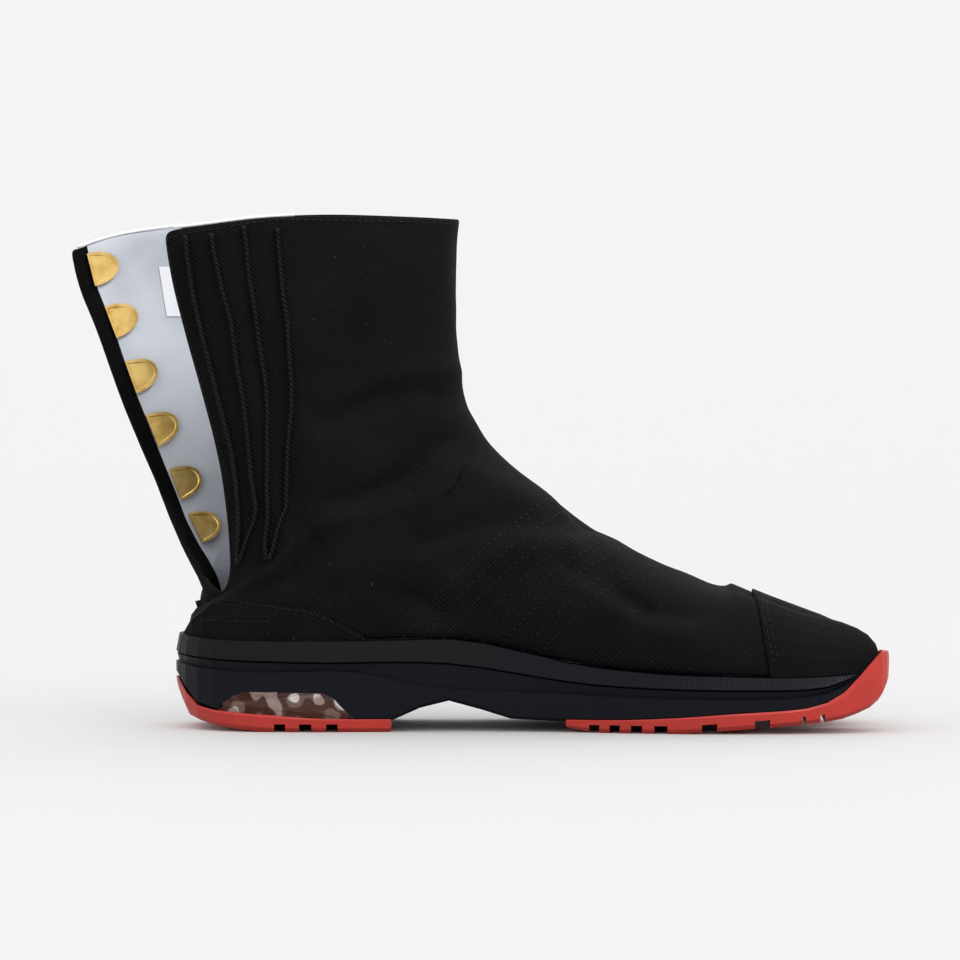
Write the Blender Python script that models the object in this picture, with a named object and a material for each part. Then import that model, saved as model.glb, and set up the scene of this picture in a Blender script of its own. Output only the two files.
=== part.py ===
"""Left split-toe boot on an air-cushion sole, built as separate named pieces.

+X points to the toe, +Y to the lateral side, +Z up, in metres. The origin is on the floor, under the
flat spot of the heel. Places along the sole are shares of SOLE_LENGTH, heights in the sole are shares of
HEEL_STACK, heights in the upper are shares of SHAFT_RISE above the heel's top edge, and widths are
shares of BALL_WIDTH.
"""
import math
from collections import namedtuple

import bmesh
import bpy
import numpy as np
from mathutils import Vector
from mathutils.bvhtree import BVHTree

# Driving dimensions
SOLE_LENGTH = 0.284
HEEL_BACK = 0.0472
BALL_WIDTH = 0.100
HEEL_STACK = 0.036
SHAFT_RISE = 0.169
WALL = 0.0018
GAP = 0.0003

# The sole
FEATHER_INSET = 0.0042
GUARD_WALL = 0.0024
TREAD_BEVEL = 0.0020
GROOVE_DEPTH = 0.0011
LUG_DEPTH = 0.0032
HEEL_ROUND = 0.125
INSOLE_THICKNESS = 0.003
INSOLE_CLEARANCE = 0.0030

# The toes: the cleft's root in the upper, its root in the sole, and the two noses
CLEFT_ROOT = 0.777
SOLE_NOTCH = 0.858
SMALL_NOSE = 0.972
CLEFT_LINE = -0.085
CLEFT_HALF_GAP = 0.0003
RIDGE_SEAM_HALF = 0.0014
SEAM_CLOSES_FROM = 0.60
BIG_TIP = -0.27
SMALL_TIP = 0.09

# The flap, its hem and its clasps
HEM_WIDTH = 0.0046
HEM_STEP = 0.0005
CLASP_COUNT = 6
CLASP_FIRST = 0.0098
CLASP_PITCH = 0.0235
CLASP_LENGTH = 0.0135
CLASP_REACH = 0.0115
CLASP_THICKNESS = 0.0009
CLASP_RIM = 0.0012

# What is sewn on the upper
OVERLAY = 0.0008
CORD_DIAMETER = 0.0021
CAP_SEAM_TOP = 0.150
CAP_SEAM_FOOT = 0.250

MEDIAL_STRIPS = 12
FLAP_STRIPS = 6
SHAFT_STEPS = 20

Outline = namedtuple("Outline", "at medial lateral")
OUTLINE = (
    Outline(0.00, 0.320, 0.320),
    Outline(0.06, 0.335, 0.335),
    Outline(0.12, 0.350, 0.350),
    Outline(0.20, 0.360, 0.365),
    Outline(0.30, 0.345, 0.365),
    Outline(0.40, 0.330, 0.365),
    Outline(0.50, 0.345, 0.385),
    Outline(0.58, 0.385, 0.415),
    Outline(0.66, 0.435, 0.460),
    Outline(0.72, 0.465, 0.490),
    Outline(0.777, 0.475, 0.495),
    Outline(0.85, 0.470, 0.480),
    Outline(0.92, 0.455, 0.455),
    Outline(1.00, 0.430, 0.430),
)

# tread: underside of the rubber; under: top of the rubber plate; rim: the line on the side where rubber
# meets the black midsole; step_low and step_high: the two grooves of the side; feather: the top edge
SoleSection = namedtuple("SoleSection", "at tread under rim step_low step_high feather")
SOLE = (
    SoleSection(0.0000, 0.500, 0.533, 0.567, 0.733, 0.828, 1.044),
    SoleSection(0.0099, 0.319, 0.403, 0.514, 0.722, 0.817, 1.039),
    SoleSection(0.0197, 0.167, 0.267, 0.356, 0.711, 0.811, 1.033),
    SoleSection(0.0338, 0.117, 0.206, 0.272, 0.694, 0.800, 1.022),
    SoleSection(0.0704, 0.050, 0.161, 0.222, 0.672, 0.783, 1.006),
    SoleSection(0.1410, 0.000, 0.128, 0.183, 0.658, 0.767, 1.000),
    SoleSection(0.2110, 0.000, 0.117, 0.144, 0.672, 0.756, 1.000),
    SoleSection(0.2690, 0.000, 0.117, 0.144, 0.650, 0.761, 1.000),
    SoleSection(0.3040, 0.000, 0.117, 0.144, 0.583, 0.764, 1.003),
    SoleSection(0.3210, 0.083, 0.156, 0.183, 0.550, 0.764, 1.006),
    SoleSection(0.3410, 0.167, 0.250, 0.278, 0.506, 0.761, 1.008),
    SoleSection(0.3760, 0.250, 0.344, 0.372, 0.478, 0.750, 1.017),
    SoleSection(0.4225, 0.167, 0.261, 0.289, 0.458, 0.711, 0.983),
    SoleSection(0.4690, 0.083, 0.144, 0.172, 0.444, 0.653, 0.906),
    SoleSection(0.5127, 0.080, 0.125, 0.150, 0.433, 0.597, 0.831),
    SoleSection(0.5480, 0.055, 0.117, 0.144, 0.422, 0.556, 0.761),
    SoleSection(0.5760, 0.000, 0.117, 0.144, 0.411, 0.528, 0.722),
    SoleSection(0.6320, 0.000, 0.117, 0.150, 0.394, 0.500, 0.678),
    SoleSection(0.6890, 0.000, 0.128, 0.172, 0.383, 0.483, 0.644),
    SoleSection(0.7845, 0.044, 0.167, 0.228, 0.378, 0.472, 0.622),
    SoleSection(0.8460, 0.083, 0.194, 0.256, 0.383, 0.472, 0.614),
    SoleSection(0.8770, 0.106, 0.217, 0.278, 0.400, 0.478, 0.617),
    SoleSection(0.9070, 0.128, 0.244, 0.333, 0.433, 0.500, 0.622),
    SoleSection(0.9380, 0.172, 0.283, 0.472, 0.533, 0.578, 0.639),
    SoleSection(0.9560, 0.225, 0.325, 0.617, 0.628, 0.636, 0.650),
    SoleSection(0.9760, 0.300, 0.390, 0.790, 0.795, 0.800, 0.660),
    SoleSection(0.9900, 0.420, 0.480, 0.885, 0.890, 0.895, 0.670),
    SoleSection(1.0000, 0.600, 0.640, 0.885, 0.890, 0.895, 0.680),
)

# Where the rubber stops under the arch, and its cross gaps: place of the rear edge and width
HEEL_RUBBER_END = 0.304
FOREFOOT_RUBBER_START = 0.548
LugGap = namedtuple("LugGap", "at width")
HEEL_GAPS = (LugGap(0.141, 0.0155), LugGap(0.176, 0.0170), LugGap(0.2135, 0.0162))
FOREFOOT_GAPS = (
    LugGap(0.5803, 0.0141),
    LugGap(0.6085, 0.0141),
    LugGap(0.6380, 0.0155),
    LugGap(0.6704, 0.0183),
    LugGap(0.7366, 0.0211),
    LugGap(0.8099, 0.0211),
    LugGap(0.8754, 0.0056),
    LugGap(0.9014, 0.0063),
)

# The air window: its upper edge from back to front
WindowEdge = namedtuple("WindowEdge", "at up")
WINDOW = (
    WindowEdge(0.0592, 0.240),
    WindowEdge(0.0704, 0.327),
    WindowEdge(0.0825, 0.400),
    WindowEdge(0.0986, 0.444),
    WindowEdge(0.1410, 0.444),
    WindowEdge(0.2113, 0.428),
    WindowEdge(0.2254, 0.367),
    WindowEdge(0.2366, 0.271),
    WindowEdge(0.2530, 0.155),
)

# Sections of the foot, from heel to the cleft's root: a section stands on the feather line at "at" and
# leans forward to the ridge of the instep at ridge_at, ridge_up
FootSection = namedtuple("FootSection", "at ridge_at ridge_up medial lateral ridge_side full")
FOOT = (
    FootSection(0.0000, 0.4127, 0.539, 0.300, 0.310, 0.000, 2.10),
    FootSection(0.0200, 0.4155, 0.529, 0.303, 0.313, 0.000, 2.10),
    FootSection(0.0600, 0.4198, 0.515, 0.310, 0.320, 0.000, 2.10),
    FootSection(0.1200, 0.4270, 0.493, 0.325, 0.335, 0.000, 2.10),
    FootSection(0.2000, 0.4375, 0.465, 0.330, 0.345, 0.000, 2.10),
    FootSection(0.2800, 0.4520, 0.437, 0.325, 0.350, -0.003, 2.10),
    FootSection(0.3600, 0.4790, 0.3965, 0.315, 0.350, -0.008, 2.10),
    FootSection(0.4200, 0.5130, 0.351, 0.310, 0.352, -0.015, 2.10),
    FootSection(0.4800, 0.5550, 0.296, 0.318, 0.362, -0.025, 2.12),
    FootSection(0.5400, 0.6000, 0.246, 0.340, 0.378, -0.037, 2.15),
    FootSection(0.6000, 0.6450, 0.203, 0.368, 0.398, -0.050, 2.18),
    FootSection(0.6600, 0.6900, 0.170, 0.402, 0.428, -0.065, 2.22),
    FootSection(0.7200, 0.7350, 0.143, 0.430, 0.456, -0.078, 2.26),
    FootSection(0.7770, 0.7770, 0.123, 0.440, 0.460, -0.085, 2.30),
)

# Sections of the shaft, from the heel's back to the collar: rear_at, rear_up and rear_side give the seam
# and, above it, the edge of the slit; reach is the far panel's length round the section, as a share of
# the closed loop; open is how far its flap is bent out of the loop; bow lifts the collar's edge
ShaftSection = namedtuple(
    "ShaftSection",
    "step rear_at rear_up rear_side ridge_at ridge_up medial lateral reach open bow",
)
SHAFT = (
    ShaftSection(0.00, 0.0207, 0.008, 0.000, 0.4127, 0.539, 0.300, 0.310, 1.000, 0.00, 0.00),
    ShaftSection(0.08, 0.0400, 0.050, 0.095, 0.4080, 0.567, 0.300, 0.310, 1.000, 0.00, 0.00),
    ShaftSection(0.16, 0.0732, 0.104, 0.170, 0.4010, 0.613, 0.297, 0.308, 1.000, 0.00, 0.00),
    ShaftSection(0.26, 0.0760, 0.182, 0.190, 0.3970, 0.670, 0.293, 0.307, 0.911, 0.10, 0.00),
    ShaftSection(0.32, 0.0740, 0.240, 0.192, 0.3955, 0.704, 0.291, 0.307, 0.864, 0.38, 0.00),
    ShaftSection(0.40, 0.0690, 0.324, 0.195, 0.3940, 0.751, 0.290, 0.308, 0.860, 0.72, 0.00),
    ShaftSection(0.54, 0.0535, 0.471, 0.200, 0.3940, 0.818, 0.290, 0.310, 0.882, 0.82, 0.00),
    ShaftSection(0.68, 0.0324, 0.599, 0.205, 0.3945, 0.870, 0.293, 0.313, 0.888, 0.86, 0.15),
    ShaftSection(0.84, 0.0070, 0.757, 0.210, 0.3960, 0.925, 0.298, 0.318, 0.890, 0.88, 0.50),
    ShaftSection(0.94, -0.0099, 0.880, 0.215, 0.3975, 0.961, 0.302, 0.322, 0.893, 0.90, 0.85),
    ShaftSection(1.00, -0.0151, 0.954, 0.215, 0.3993, 0.986, 0.305, 0.325, 0.900, 0.90, 1.00),
)
SLIT_STEP = 0.16
OVERLAY_TOP = 0.24
FLAP_LEVELS_OVER = 0.20
SHAFT_FULL = 2.25

# Rise of the collar's edge over the straight line between its ends
CollarBow = namedtuple("CollarBow", "at rise")
COLLAR = (
    CollarBow(-0.160, -0.044),
    CollarBow(-0.131, -0.030),
    CollarBow(-0.077, 0.002),
    CollarBow(0.000, 0.010),
    CollarBow(0.056, 0.017),
    CollarBow(0.120, 0.028),
    CollarBow(0.190, 0.027),
    CollarBow(0.315, 0.013),
    CollarBow(0.400, 0.000),
)

# Height of the toe lobes above the feather line, from the cleft's root to the noses
Lobe = namedtuple("Lobe", "along big small")
LOBES = (
    Lobe(0.00, 0.206, 0.206),
    Lobe(0.10, 0.188, 0.192),
    Lobe(0.26, 0.166, 0.172),
    Lobe(0.46, 0.139, 0.148),
    Lobe(0.64, 0.122, 0.126),
    Lobe(0.82, 0.098, 0.102),
    Lobe(1.00, 0.076, 0.076),
)

CounterEdge = namedtuple("CounterEdge", "at rise")
COUNTER = (
    CounterEdge(0.0200, 0.082),
    CounterEdge(0.0730, 0.084),
    CounterEdge(0.1070, 0.088),
    CounterEdge(0.1465, 0.086),
    CounterEdge(0.1873, 0.078),
    CounterEdge(0.2183, 0.058),
    CounterEdge(0.2480, 0.028),
    CounterEdge(0.2700, 0.006),
)

# Routes of the loop cords on the medial panel, down one leg and up the next
RoutePoint = namedtuple("RoutePoint", "at up")
REAR_CORD = (
    RoutePoint(0.0185, 0.950),
    RoutePoint(0.0211, 0.904),
    RoutePoint(0.0296, 0.805),
    RoutePoint(0.0408, 0.722),
    RoutePoint(0.0563, 0.618),
    RoutePoint(0.0704, 0.523),
    RoutePoint(0.0817, 0.447),
    RoutePoint(0.0873, 0.388),
    RoutePoint(0.0915, 0.322),
    RoutePoint(0.0930, 0.260),
    RoutePoint(0.0901, 0.201),
    RoutePoint(0.0900, 0.168),
    RoutePoint(0.0950, 0.192),
    RoutePoint(0.1042, 0.241),
    RoutePoint(0.1155, 0.286),
    RoutePoint(0.1169, 0.312),
    RoutePoint(0.1113, 0.362),
    RoutePoint(0.1070, 0.424),
    RoutePoint(0.1042, 0.488),
    RoutePoint(0.0986, 0.566),
    RoutePoint(0.0915, 0.627),
    RoutePoint(0.0859, 0.696),
    RoutePoint(0.0811, 0.757),
    RoutePoint(0.0704, 0.816),
    RoutePoint(0.0592, 0.904),
    RoutePoint(0.0545, 0.958),
)
FRONT_CORD = (
    RoutePoint(0.1000, 0.972),
    RoutePoint(0.1042, 0.921),
    RoutePoint(0.1070, 0.852),
    RoutePoint(0.1155, 0.774),
    RoutePoint(0.1197, 0.712),
    RoutePoint(0.1239, 0.660),
    RoutePoint(0.1296, 0.608),
    RoutePoint(0.1324, 0.540),
    RoutePoint(0.1310, 0.483),
    RoutePoint(0.1324, 0.424),
    RoutePoint(0.1310, 0.348),
    RoutePoint(0.1338, 0.291),
    RoutePoint(0.1282, 0.230),
    RoutePoint(0.1324, 0.178),
    RoutePoint(0.1385, 0.192),
    RoutePoint(0.1423, 0.230),
    RoutePoint(0.1493, 0.282),
    RoutePoint(0.1592, 0.312),
    RoutePoint(0.1577, 0.348),
    RoutePoint(0.1606, 0.447),
    RoutePoint(0.1662, 0.540),
    RoutePoint(0.1662, 0.601),
    RoutePoint(0.1620, 0.679),
    RoutePoint(0.1606, 0.743),
    RoutePoint(0.1549, 0.800),
    RoutePoint(0.1507, 0.868),
    RoutePoint(0.1465, 0.972),
)

Finish = namedtuple("Finish", "colour roughness metallic")
FINISHES = {
    "twill": Finish((0.012, 0.012, 0.014), 0.90, 0.0),
    "cord": Finish((0.010, 0.010, 0.012), 0.85, 0.0),
    "brass": Finish((0.72, 0.50, 0.15), 0.32, 1.0),
    "insole": Finish((0.30, 0.30, 0.32), 0.90, 0.0),
    "moulded": Finish((0.014, 0.017, 0.026), 0.62, 0.0),
    "clear": Finish((0.75, 0.72, 0.70), 0.10, 0.0),
    "red_rubber": Finish((0.62, 0.045, 0.025), 0.50, 0.0),
}


def clear_scene():
    for item in list(bpy.data.objects):
        bpy.data.objects.remove(item, do_unlink=True)


def material(name):
    found = bpy.data.materials.get(name)
    if found:
        return found
    finish = FINISHES[name]
    made = bpy.data.materials.new(name)
    made.use_nodes = True
    shader = made.node_tree.nodes["Principled BSDF"]
    shader.inputs["Base Color"].default_value = (*finish.colour, 1.0)
    shader.inputs["Roughness"].default_value = finish.roughness
    shader.inputs["Metallic"].default_value = finish.metallic
    if name == "clear":
        shader.inputs["Alpha"].default_value = 0.4
    return made


def along(share):
    """X of a place along the sole."""
    return share * SOLE_LENGTH - HEEL_BACK


def share_of(x):
    return (x + HEEL_BACK) / SOLE_LENGTH


def height(up):
    """Z of a height in the upper, measured from the heel's top edge."""
    return HEEL_STACK + up * SHAFT_RISE


def smooth(table, key, value, at):
    """A column of a table, read between its rows with a curve that doesn't overshoot."""
    xs = np.array([getattr(row, key) for row in table], float)
    ys = np.array([getattr(row, value) for row in table], float)
    steps = np.diff(ys) / np.diff(xs)
    slopes = np.zeros(len(xs))
    same = steps[:-1] * steps[1:] > 0
    total = np.where(same, steps[:-1] + steps[1:], 1.0)
    slopes[1:-1] = np.where(same, 2.0 * steps[:-1] * steps[1:] / total, 0.0)
    slopes[0] = steps[0]
    slopes[-1] = steps[-1]
    at = np.clip(np.asarray(at, float), xs[0], xs[-1])
    i = np.clip(np.searchsorted(xs, at) - 1, 0, len(xs) - 2)
    width = xs[i + 1] - xs[i]
    t = (at - xs[i]) / width
    low = (1 + 2 * t) * (1 - t) ** 2 * ys[i] + t * (1 - t) ** 2 * width * slopes[i]
    high = t * t * (3 - 2 * t) * ys[i + 1] + t * t * (t - 1) * width * slopes[i + 1]
    return low + high


def sole_height(column, station):
    return smooth(SOLE, "at", column, station) * HEEL_STACK


def power(value, exponent):
    return math.copysign(abs(value) ** exponent, value)


# Stations: body stations from the heel to the cleft's root, then the lobes to their noses
BODY = [0.0, 0.004, 0.015, 0.032, 0.055, 0.085, 0.115, 0.141, 0.17, 0.215, 0.26, 0.304, 0.345, 0.385, 0.43]
BODY += [0.47, 0.51, 0.548, 0.59, 0.63, 0.67, 0.71, 0.745, CLEFT_ROOT]
ALONG_LOBE = [0.035, 0.08, 0.16, 0.26]
NOTCH_ALONG = (SOLE_NOTCH - CLEFT_ROOT) / (1.0 - CLEFT_ROOT)
ALONG_LOBE += [NOTCH_ALONG, 0.48, 0.60, 0.71, 0.81, 0.89, 0.95, 0.985, 1.0]
ROOT_ROW = len(BODY) - 1
NOTCH_ROW = ROOT_ROW + ALONG_LOBE.index(NOTCH_ALONG) + 1
LAST_ROW = ROOT_ROW + len(ALONG_LOBE)


def row_station(row):
    if row <= ROOT_ROW:
        return BODY[row]
    return CLEFT_ROOT + ALONG_LOBE[row - ROOT_ROW - 1] * (1.0 - CLEFT_ROOT)


def plan_row(row):
    """The outline's medial edge, the two edges of the cleft and the lateral edge, in plan."""
    station = row_station(row)
    medial = -smooth(OUTLINE, "at", "medial", station) * BALL_WIDTH
    lateral = smooth(OUTLINE, "at", "lateral", station) * BALL_WIDTH
    cleft = CLEFT_LINE * BALL_WIDTH
    if row <= ROOT_ROW:
        closing = 1.0
        if station < HEEL_ROUND:
            closing = (1.0 - (1.0 - station / HEEL_ROUND) ** 2.3) ** 0.5
        x = along(station)
        split = cleft * min(1.0, station / CLEFT_ROOT) * closing
        half = CLEFT_HALF_GAP * closing
        return [
            (x, medial * closing),
            (x, split - half),
            (x, split + half),
            (x, lateral * closing),
        ]
    r = ALONG_LOBE[row - ROOT_ROW - 1]
    x_big = along(station)
    x_small = along(CLEFT_ROOT + r * (SMALL_NOSE - CLEFT_ROOT))
    big_tip = BIG_TIP * BALL_WIDTH
    small_tip = SMALL_TIP * BALL_WIDTH
    blunt = (1.0 - r**4) ** 0.5
    inner = (1.0 - r**5) ** 0.5
    slanted = (1.0 - r**2.7) ** 0.58
    return [
        (x_big, big_tip + (medial - big_tip) * blunt),
        (x_big, big_tip + (cleft - CLEFT_HALF_GAP - big_tip) * inner),
        (x_small, small_tip + (cleft + CLEFT_HALF_GAP - small_tip) * inner),
        (x_small, small_tip + (lateral - small_tip) * slanted),
    ]


PLAN = [plan_row(row) for row in range(LAST_ROW + 1)]


def outline_normals(first_split, square_root=False):
    """Outward normals in plan for each row's four points, with the cleft open from first_split on.

    A square root moves the cleft's end back with its sides.
    """
    loop = [(row, 0) for row in range(LAST_ROW + 1)]
    loop += [(row, 1) for row in range(LAST_ROW - 1, first_split - 1, -1)]
    loop += [(row, 2) for row in range(first_split, LAST_ROW)]
    loop += [(row, 3) for row in range(LAST_ROW, 0, -1)]
    normals = {}
    for i, (row, column) in enumerate(loop):
        before = Vector(PLAN[loop[i - 1][0]][loop[i - 1][1]])
        after_key = loop[(i + 1) % len(loop)]
        after = Vector(PLAN[after_key[0]][after_key[1]])
        tangent = after - before
        normal = Vector((tangent.y, -tangent.x)).normalized()
        normals[(row, column)] = normal
    normals[(0, 3)] = normals[(0, 0)]
    for row in range(first_split):
        normals[(row, 1)] = Vector((0.0, 0.0))
        normals[(row, 2)] = Vector((0.0, 0.0))
    normals[(0, 1)] = normals[(0, 0)]
    normals[(0, 2)] = normals[(0, 0)]
    normals[(LAST_ROW, 1)] = normals[(LAST_ROW, 0)]
    normals[(LAST_ROW, 2)] = normals[(LAST_ROW, 3)]
    if square_root:
        normals[(first_split, 1)] = Vector((1.0, 1.0))
        normals[(first_split, 2)] = Vector((1.0, -1.0))
    return normals


UPPER_NORMALS = outline_normals(ROOT_ROW + 1)
SOLE_NORMALS = outline_normals(NOTCH_ROW, square_root=True)


def inner_share(row):
    """Offsets are halved inside the cleft, and whole at the noses."""
    if row <= ROOT_ROW:
        return 0.5
    r = ALONG_LOBE[row - ROOT_ROW - 1]
    t = min(1.0, max(0.0, (r - 0.6) / 0.4))
    return 0.5 + 0.5 * t * t * (3 - 2 * t)


def edge_point(row, column, offset, normals):
    """A point of the outline moved outwards by offset, and the station that its heights are read at."""
    weight = inner_share(row) if column in (1, 2) and row > 0 else 1.0
    x, y = PLAN[row][column]
    normal = normals[(row, column)]
    if normal.length == 0:
        medial, lateral = PLAN[row][0], PLAN[row][3]
        share = (y - medial[1]) / (lateral[1] - medial[1])
        near = edge_point(row, 0, offset, normals)
        far = edge_point(row, 3, offset, normals)
        return tuple(a + (b - a) * share for a, b in zip(near, far))
    x += normal.x * offset * weight
    y += normal.y * offset * weight
    station = share_of(x)
    if column in (2, 3) and station > CLEFT_ROOT:
        grow = (1.0 - CLEFT_ROOT) / (SMALL_NOSE - CLEFT_ROOT)
        station = CLEFT_ROOT + (station - CLEFT_ROOT) * grow
    return x, y, min(1.0, max(0.0, station))


def finish_object(name, bm, finish, sharp_angle=35.0):
    bmesh.ops.remove_doubles(bm, verts=bm.verts, dist=1e-6)
    bmesh.ops.dissolve_degenerate(bm, edges=bm.edges, dist=1e-6)
    bmesh.ops.recalc_face_normals(bm, faces=bm.faces)
    mesh = bpy.data.meshes.new(name)
    bm.to_mesh(mesh)
    bm.free()
    mesh.shade_smooth()
    mesh.set_sharp_from_angle(angle=math.radians(sharp_angle))
    made = bpy.data.objects.new(name, mesh)
    made.data.materials.append(material(finish))
    bpy.context.scene.collection.objects.link(made)
    return made


def sole_stack(name, rows, levels, finish, normals, split_row):
    """A solid from stacked outlines. A level gives an offset and a height for each point, bottom to top."""
    bm = bmesh.new()
    verts = {}
    for k, level in enumerate(levels):
        for row in rows:
            for column in range(4):
                x, y, z = level(row, column, normals)
                verts[(k, row, column)] = bm.verts.new((x, y, z))
    top = len(levels) - 1

    def quad(a, b, c, d):
        bm.faces.new((verts[a], verts[b], verts[c], verts[d]))

    for row, ahead in zip(rows[:-1], rows[1:]):
        for k in range(top):
            quad((k, row, 0), (k, ahead, 0), (k + 1, ahead, 0), (k + 1, row, 0))
            quad((k, ahead, 3), (k, row, 3), (k + 1, row, 3), (k + 1, ahead, 3))
            if row >= split_row:
                quad((k, ahead, 1), (k, row, 1), (k + 1, row, 1), (k + 1, ahead, 1))
                quad((k, row, 2), (k, ahead, 2), (k + 1, ahead, 2), (k + 1, row, 2))
        for column in range(3):
            if column == 1 and row >= split_row:
                continue
            quad((0, row, column), (0, row, column + 1), (0, ahead, column + 1), (0, ahead, column))
            quad((top, row, column + 1), (top, row, column), (top, ahead, column), (top, ahead, column + 1))
    if split_row in rows:
        for k in range(top):
            quad((k, split_row, 1), (k, split_row, 2), (k + 1, split_row, 2), (k + 1, split_row, 1))
    for row in (rows[0], rows[-1]):
        if row in (0, LAST_ROW):
            continue
        ends = [(0, row, column) for column in range(4)]
        ends += [(k, row, 3) for k in range(1, top + 1)]
        ends += [(top, row, column) for column in (2, 1, 0)]
        ends += [(k, row, 0) for k in range(top - 1, 0, -1)]
        bm.faces.new([verts[key] for key in ends])
    return finish_object(name, bm, finish)


def level(offset, height_of):
    def place(row, column, normals):
        x, y, station = edge_point(row, column, offset(row, column) if callable(offset) else offset, normals)
        return x, y, height_of(station)

    return place


def tread_z(station):
    return sole_height("tread", station)


def under_z(station):
    return sole_height("under", station)


def rim_z(station):
    return max(sole_height("rim", station), under_z(station) + 2 * GAP)


def feather_z(station):
    return sole_height("feather", station)


def rubber_piece(name, rows):
    levels = [
        level(-TREAD_BEVEL, tread_z),
        level(-0.15 * TREAD_BEVEL, lambda s: tread_z(s) + 0.4 * (under_z(s) - tread_z(s))),
        level(0.0, lambda s: 0.35 * under_z(s) + 0.65 * rim_z(s)),
        level(-0.15 * TREAD_BEVEL, rim_z),
        level(-GUARD_WALL, rim_z),
        level(-GUARD_WALL, lambda s: under_z(s) - GAP),
    ]
    return sole_stack(name, rows, levels, "red_rubber", SOLE_NORMALS, NOTCH_ROW)


def seat_z(station):
    """The midsole's underside: it lifts off the steep rubber of the noses."""
    nose = min(1.0, max(0.0, (station - 0.90) / 0.05))
    back = max(0.0, 1.0 - station / 0.10)
    return under_z(station) + 4 * GAP * max(nose, back)


def midsole_side(station, column, extra, order):
    """Height of a side line of the midsole, kept in order between its underside and its top edge."""
    low = seat_z(station)
    high = feather_z(station)
    if column == "rim":
        back = max(0.0, 1.0 - station / 0.10)
        wanted = rim_z(station) + GAP * (1.0 + 5.0 * back)
    else:
        wanted = sole_height(column, station)
    share = (wanted + extra - low) / (high - low)
    room = 0.02
    return low + (high - low) * min(max(share, room * order), 1.0 - room * (8 - order))


def toe_recess(row, column):
    """How far the toe guard pushes the midsole's side inwards at the noses."""
    station = row_station(row)
    covered = (rim_z(station) - feather_z(station) + 0.0030) / 0.0024
    covered = min(1.0, max(0.0, covered)) if station > 0.5 else 0.0
    return covered * (GUARD_WALL + GAP)


def make_midsole():
    inside = GUARD_WALL + GAP

    def side(offset):
        return lambda row, column: offset - max(0.0, toe_recess(row, column) + min(0.0, offset))

    groove = GROOVE_DEPTH
    levels = [
        level(-inside - 2 * GAP, seat_z),
        level(-inside, lambda s: midsole_side(s, "rim", 0.0, 1)),
        level(side(0.0), lambda s: midsole_side(s, "rim", 0.1 * groove, 2)),
        level(side(0.0), lambda s: midsole_side(s, "step_low", 0.0, 3)),
        level(side(-groove), lambda s: midsole_side(s, "step_low", 0.4 * groove, 4)),
        level(side(-0.4 * groove), lambda s: midsole_side(s, "step_high", -0.2 * groove, 5)),
        level(side(-groove), lambda s: midsole_side(s, "step_high", 0.0, 6)),
        level(side(0.0), lambda s: midsole_side(s, "step_high", 0.6 * groove, 7)),
        level(side(-1.2 * groove), feather_z),
    ]
    return sole_stack("midsole", list(range(LAST_ROW + 1)), levels, "moulded", SOLE_NORMALS, NOTCH_ROW)


def combine(target, cutter, operation):
    cutter.hide_render = True
    cutter.display_type = "WIRE"
    modifier = target.modifiers.new(cutter.name, "BOOLEAN")
    modifier.operation = operation
    modifier.solver = "EXACT"
    modifier.object = cutter


def cut(target, cutters):
    """Take the cutters out of the target, one Boolean each."""
    for cutter in cutters:
        combine(target, cutter, "DIFFERENCE")


def prism(name, profile, medial, lateral, finish="moulded"):
    """A closed solid from a profile in the XZ plane, run from each point's medial Y to its lateral Y."""
    bm = bmesh.new()
    near = [bm.verts.new((x, y, z)) for (x, z), y in zip(profile, medial)]
    far = [bm.verts.new((x, y, z)) for (x, z), y in zip(profile, lateral)]
    bm.faces.new(near)
    bm.faces.new(list(reversed(far)))
    count = len(profile)
    for i in range(count):
        j = (i + 1) % count
        bm.faces.new((near[j], near[i], far[i], far[j]))
    return finish_object(name, bm, finish, 30.0)


def through_prism(name, profile):
    """A cutter from a profile, wider than the shoe."""
    count = len(profile)
    return prism(name, profile, [-BALL_WIDTH] * count, [BALL_WIDTH] * count)


def lug_cutters(prefix, gaps):
    cutters = []
    for number, gap in enumerate(gaps, 1):
        low = tread_z(gap.at)
        high = tread_z(gap.at + gap.width)
        x0 = along(gap.at)
        x1 = along(gap.at + gap.width)
        profile = [
            (x0, low - HEEL_STACK * 0.3),
            (x1, high - HEEL_STACK * 0.3),
            (x1, high + LUG_DEPTH),
            (x0, low + LUG_DEPTH),
        ]
        cutters.append(through_prism(f"{prefix}_gap_{number}", profile))
    return cutters


def rows_between(first, last):
    return [row for row in range(LAST_ROW + 1) if first - 1e-6 <= row_station(row) <= last + 1e-6]


def window_profile(inset, floor_of):
    """The air window's outline, drawn in by inset, closed along floor_of."""
    top = []
    middle = 0.5 * (WINDOW[0].at + WINDOW[-1].at)
    for edge in WINDOW:
        lean = inset * max(-1.0, min(1.0, (edge.at - middle) / (0.35 * (WINDOW[-1].at - WINDOW[0].at))))
        x = along(edge.at) - lean
        top.append((x, edge.up * HEEL_STACK - inset))
    bottom = []
    for share in (0.0, 0.5, 1.0):
        x = top[-1][0] + (top[0][0] - top[-1][0]) * share
        bottom.append((x, floor_of(share_of(x))))
    return top + bottom


def make_air_cell():
    profile = window_profile(GAP, lambda s: under_z(s) + GAP)
    widths = []
    for x, _ in profile:
        station = share_of(x)
        closing = 1.0
        if station < HEEL_ROUND:
            closing = (1.0 - (1.0 - station / HEEL_ROUND) ** 2.3) ** 0.5
        outline = smooth(OUTLINE, "at", "medial", station) * BALL_WIDTH * closing
        widths.append(outline - GUARD_WALL - 4 * GAP)
    return prism("air_cell", profile, [-width for width in widths], widths, "clear")


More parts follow.
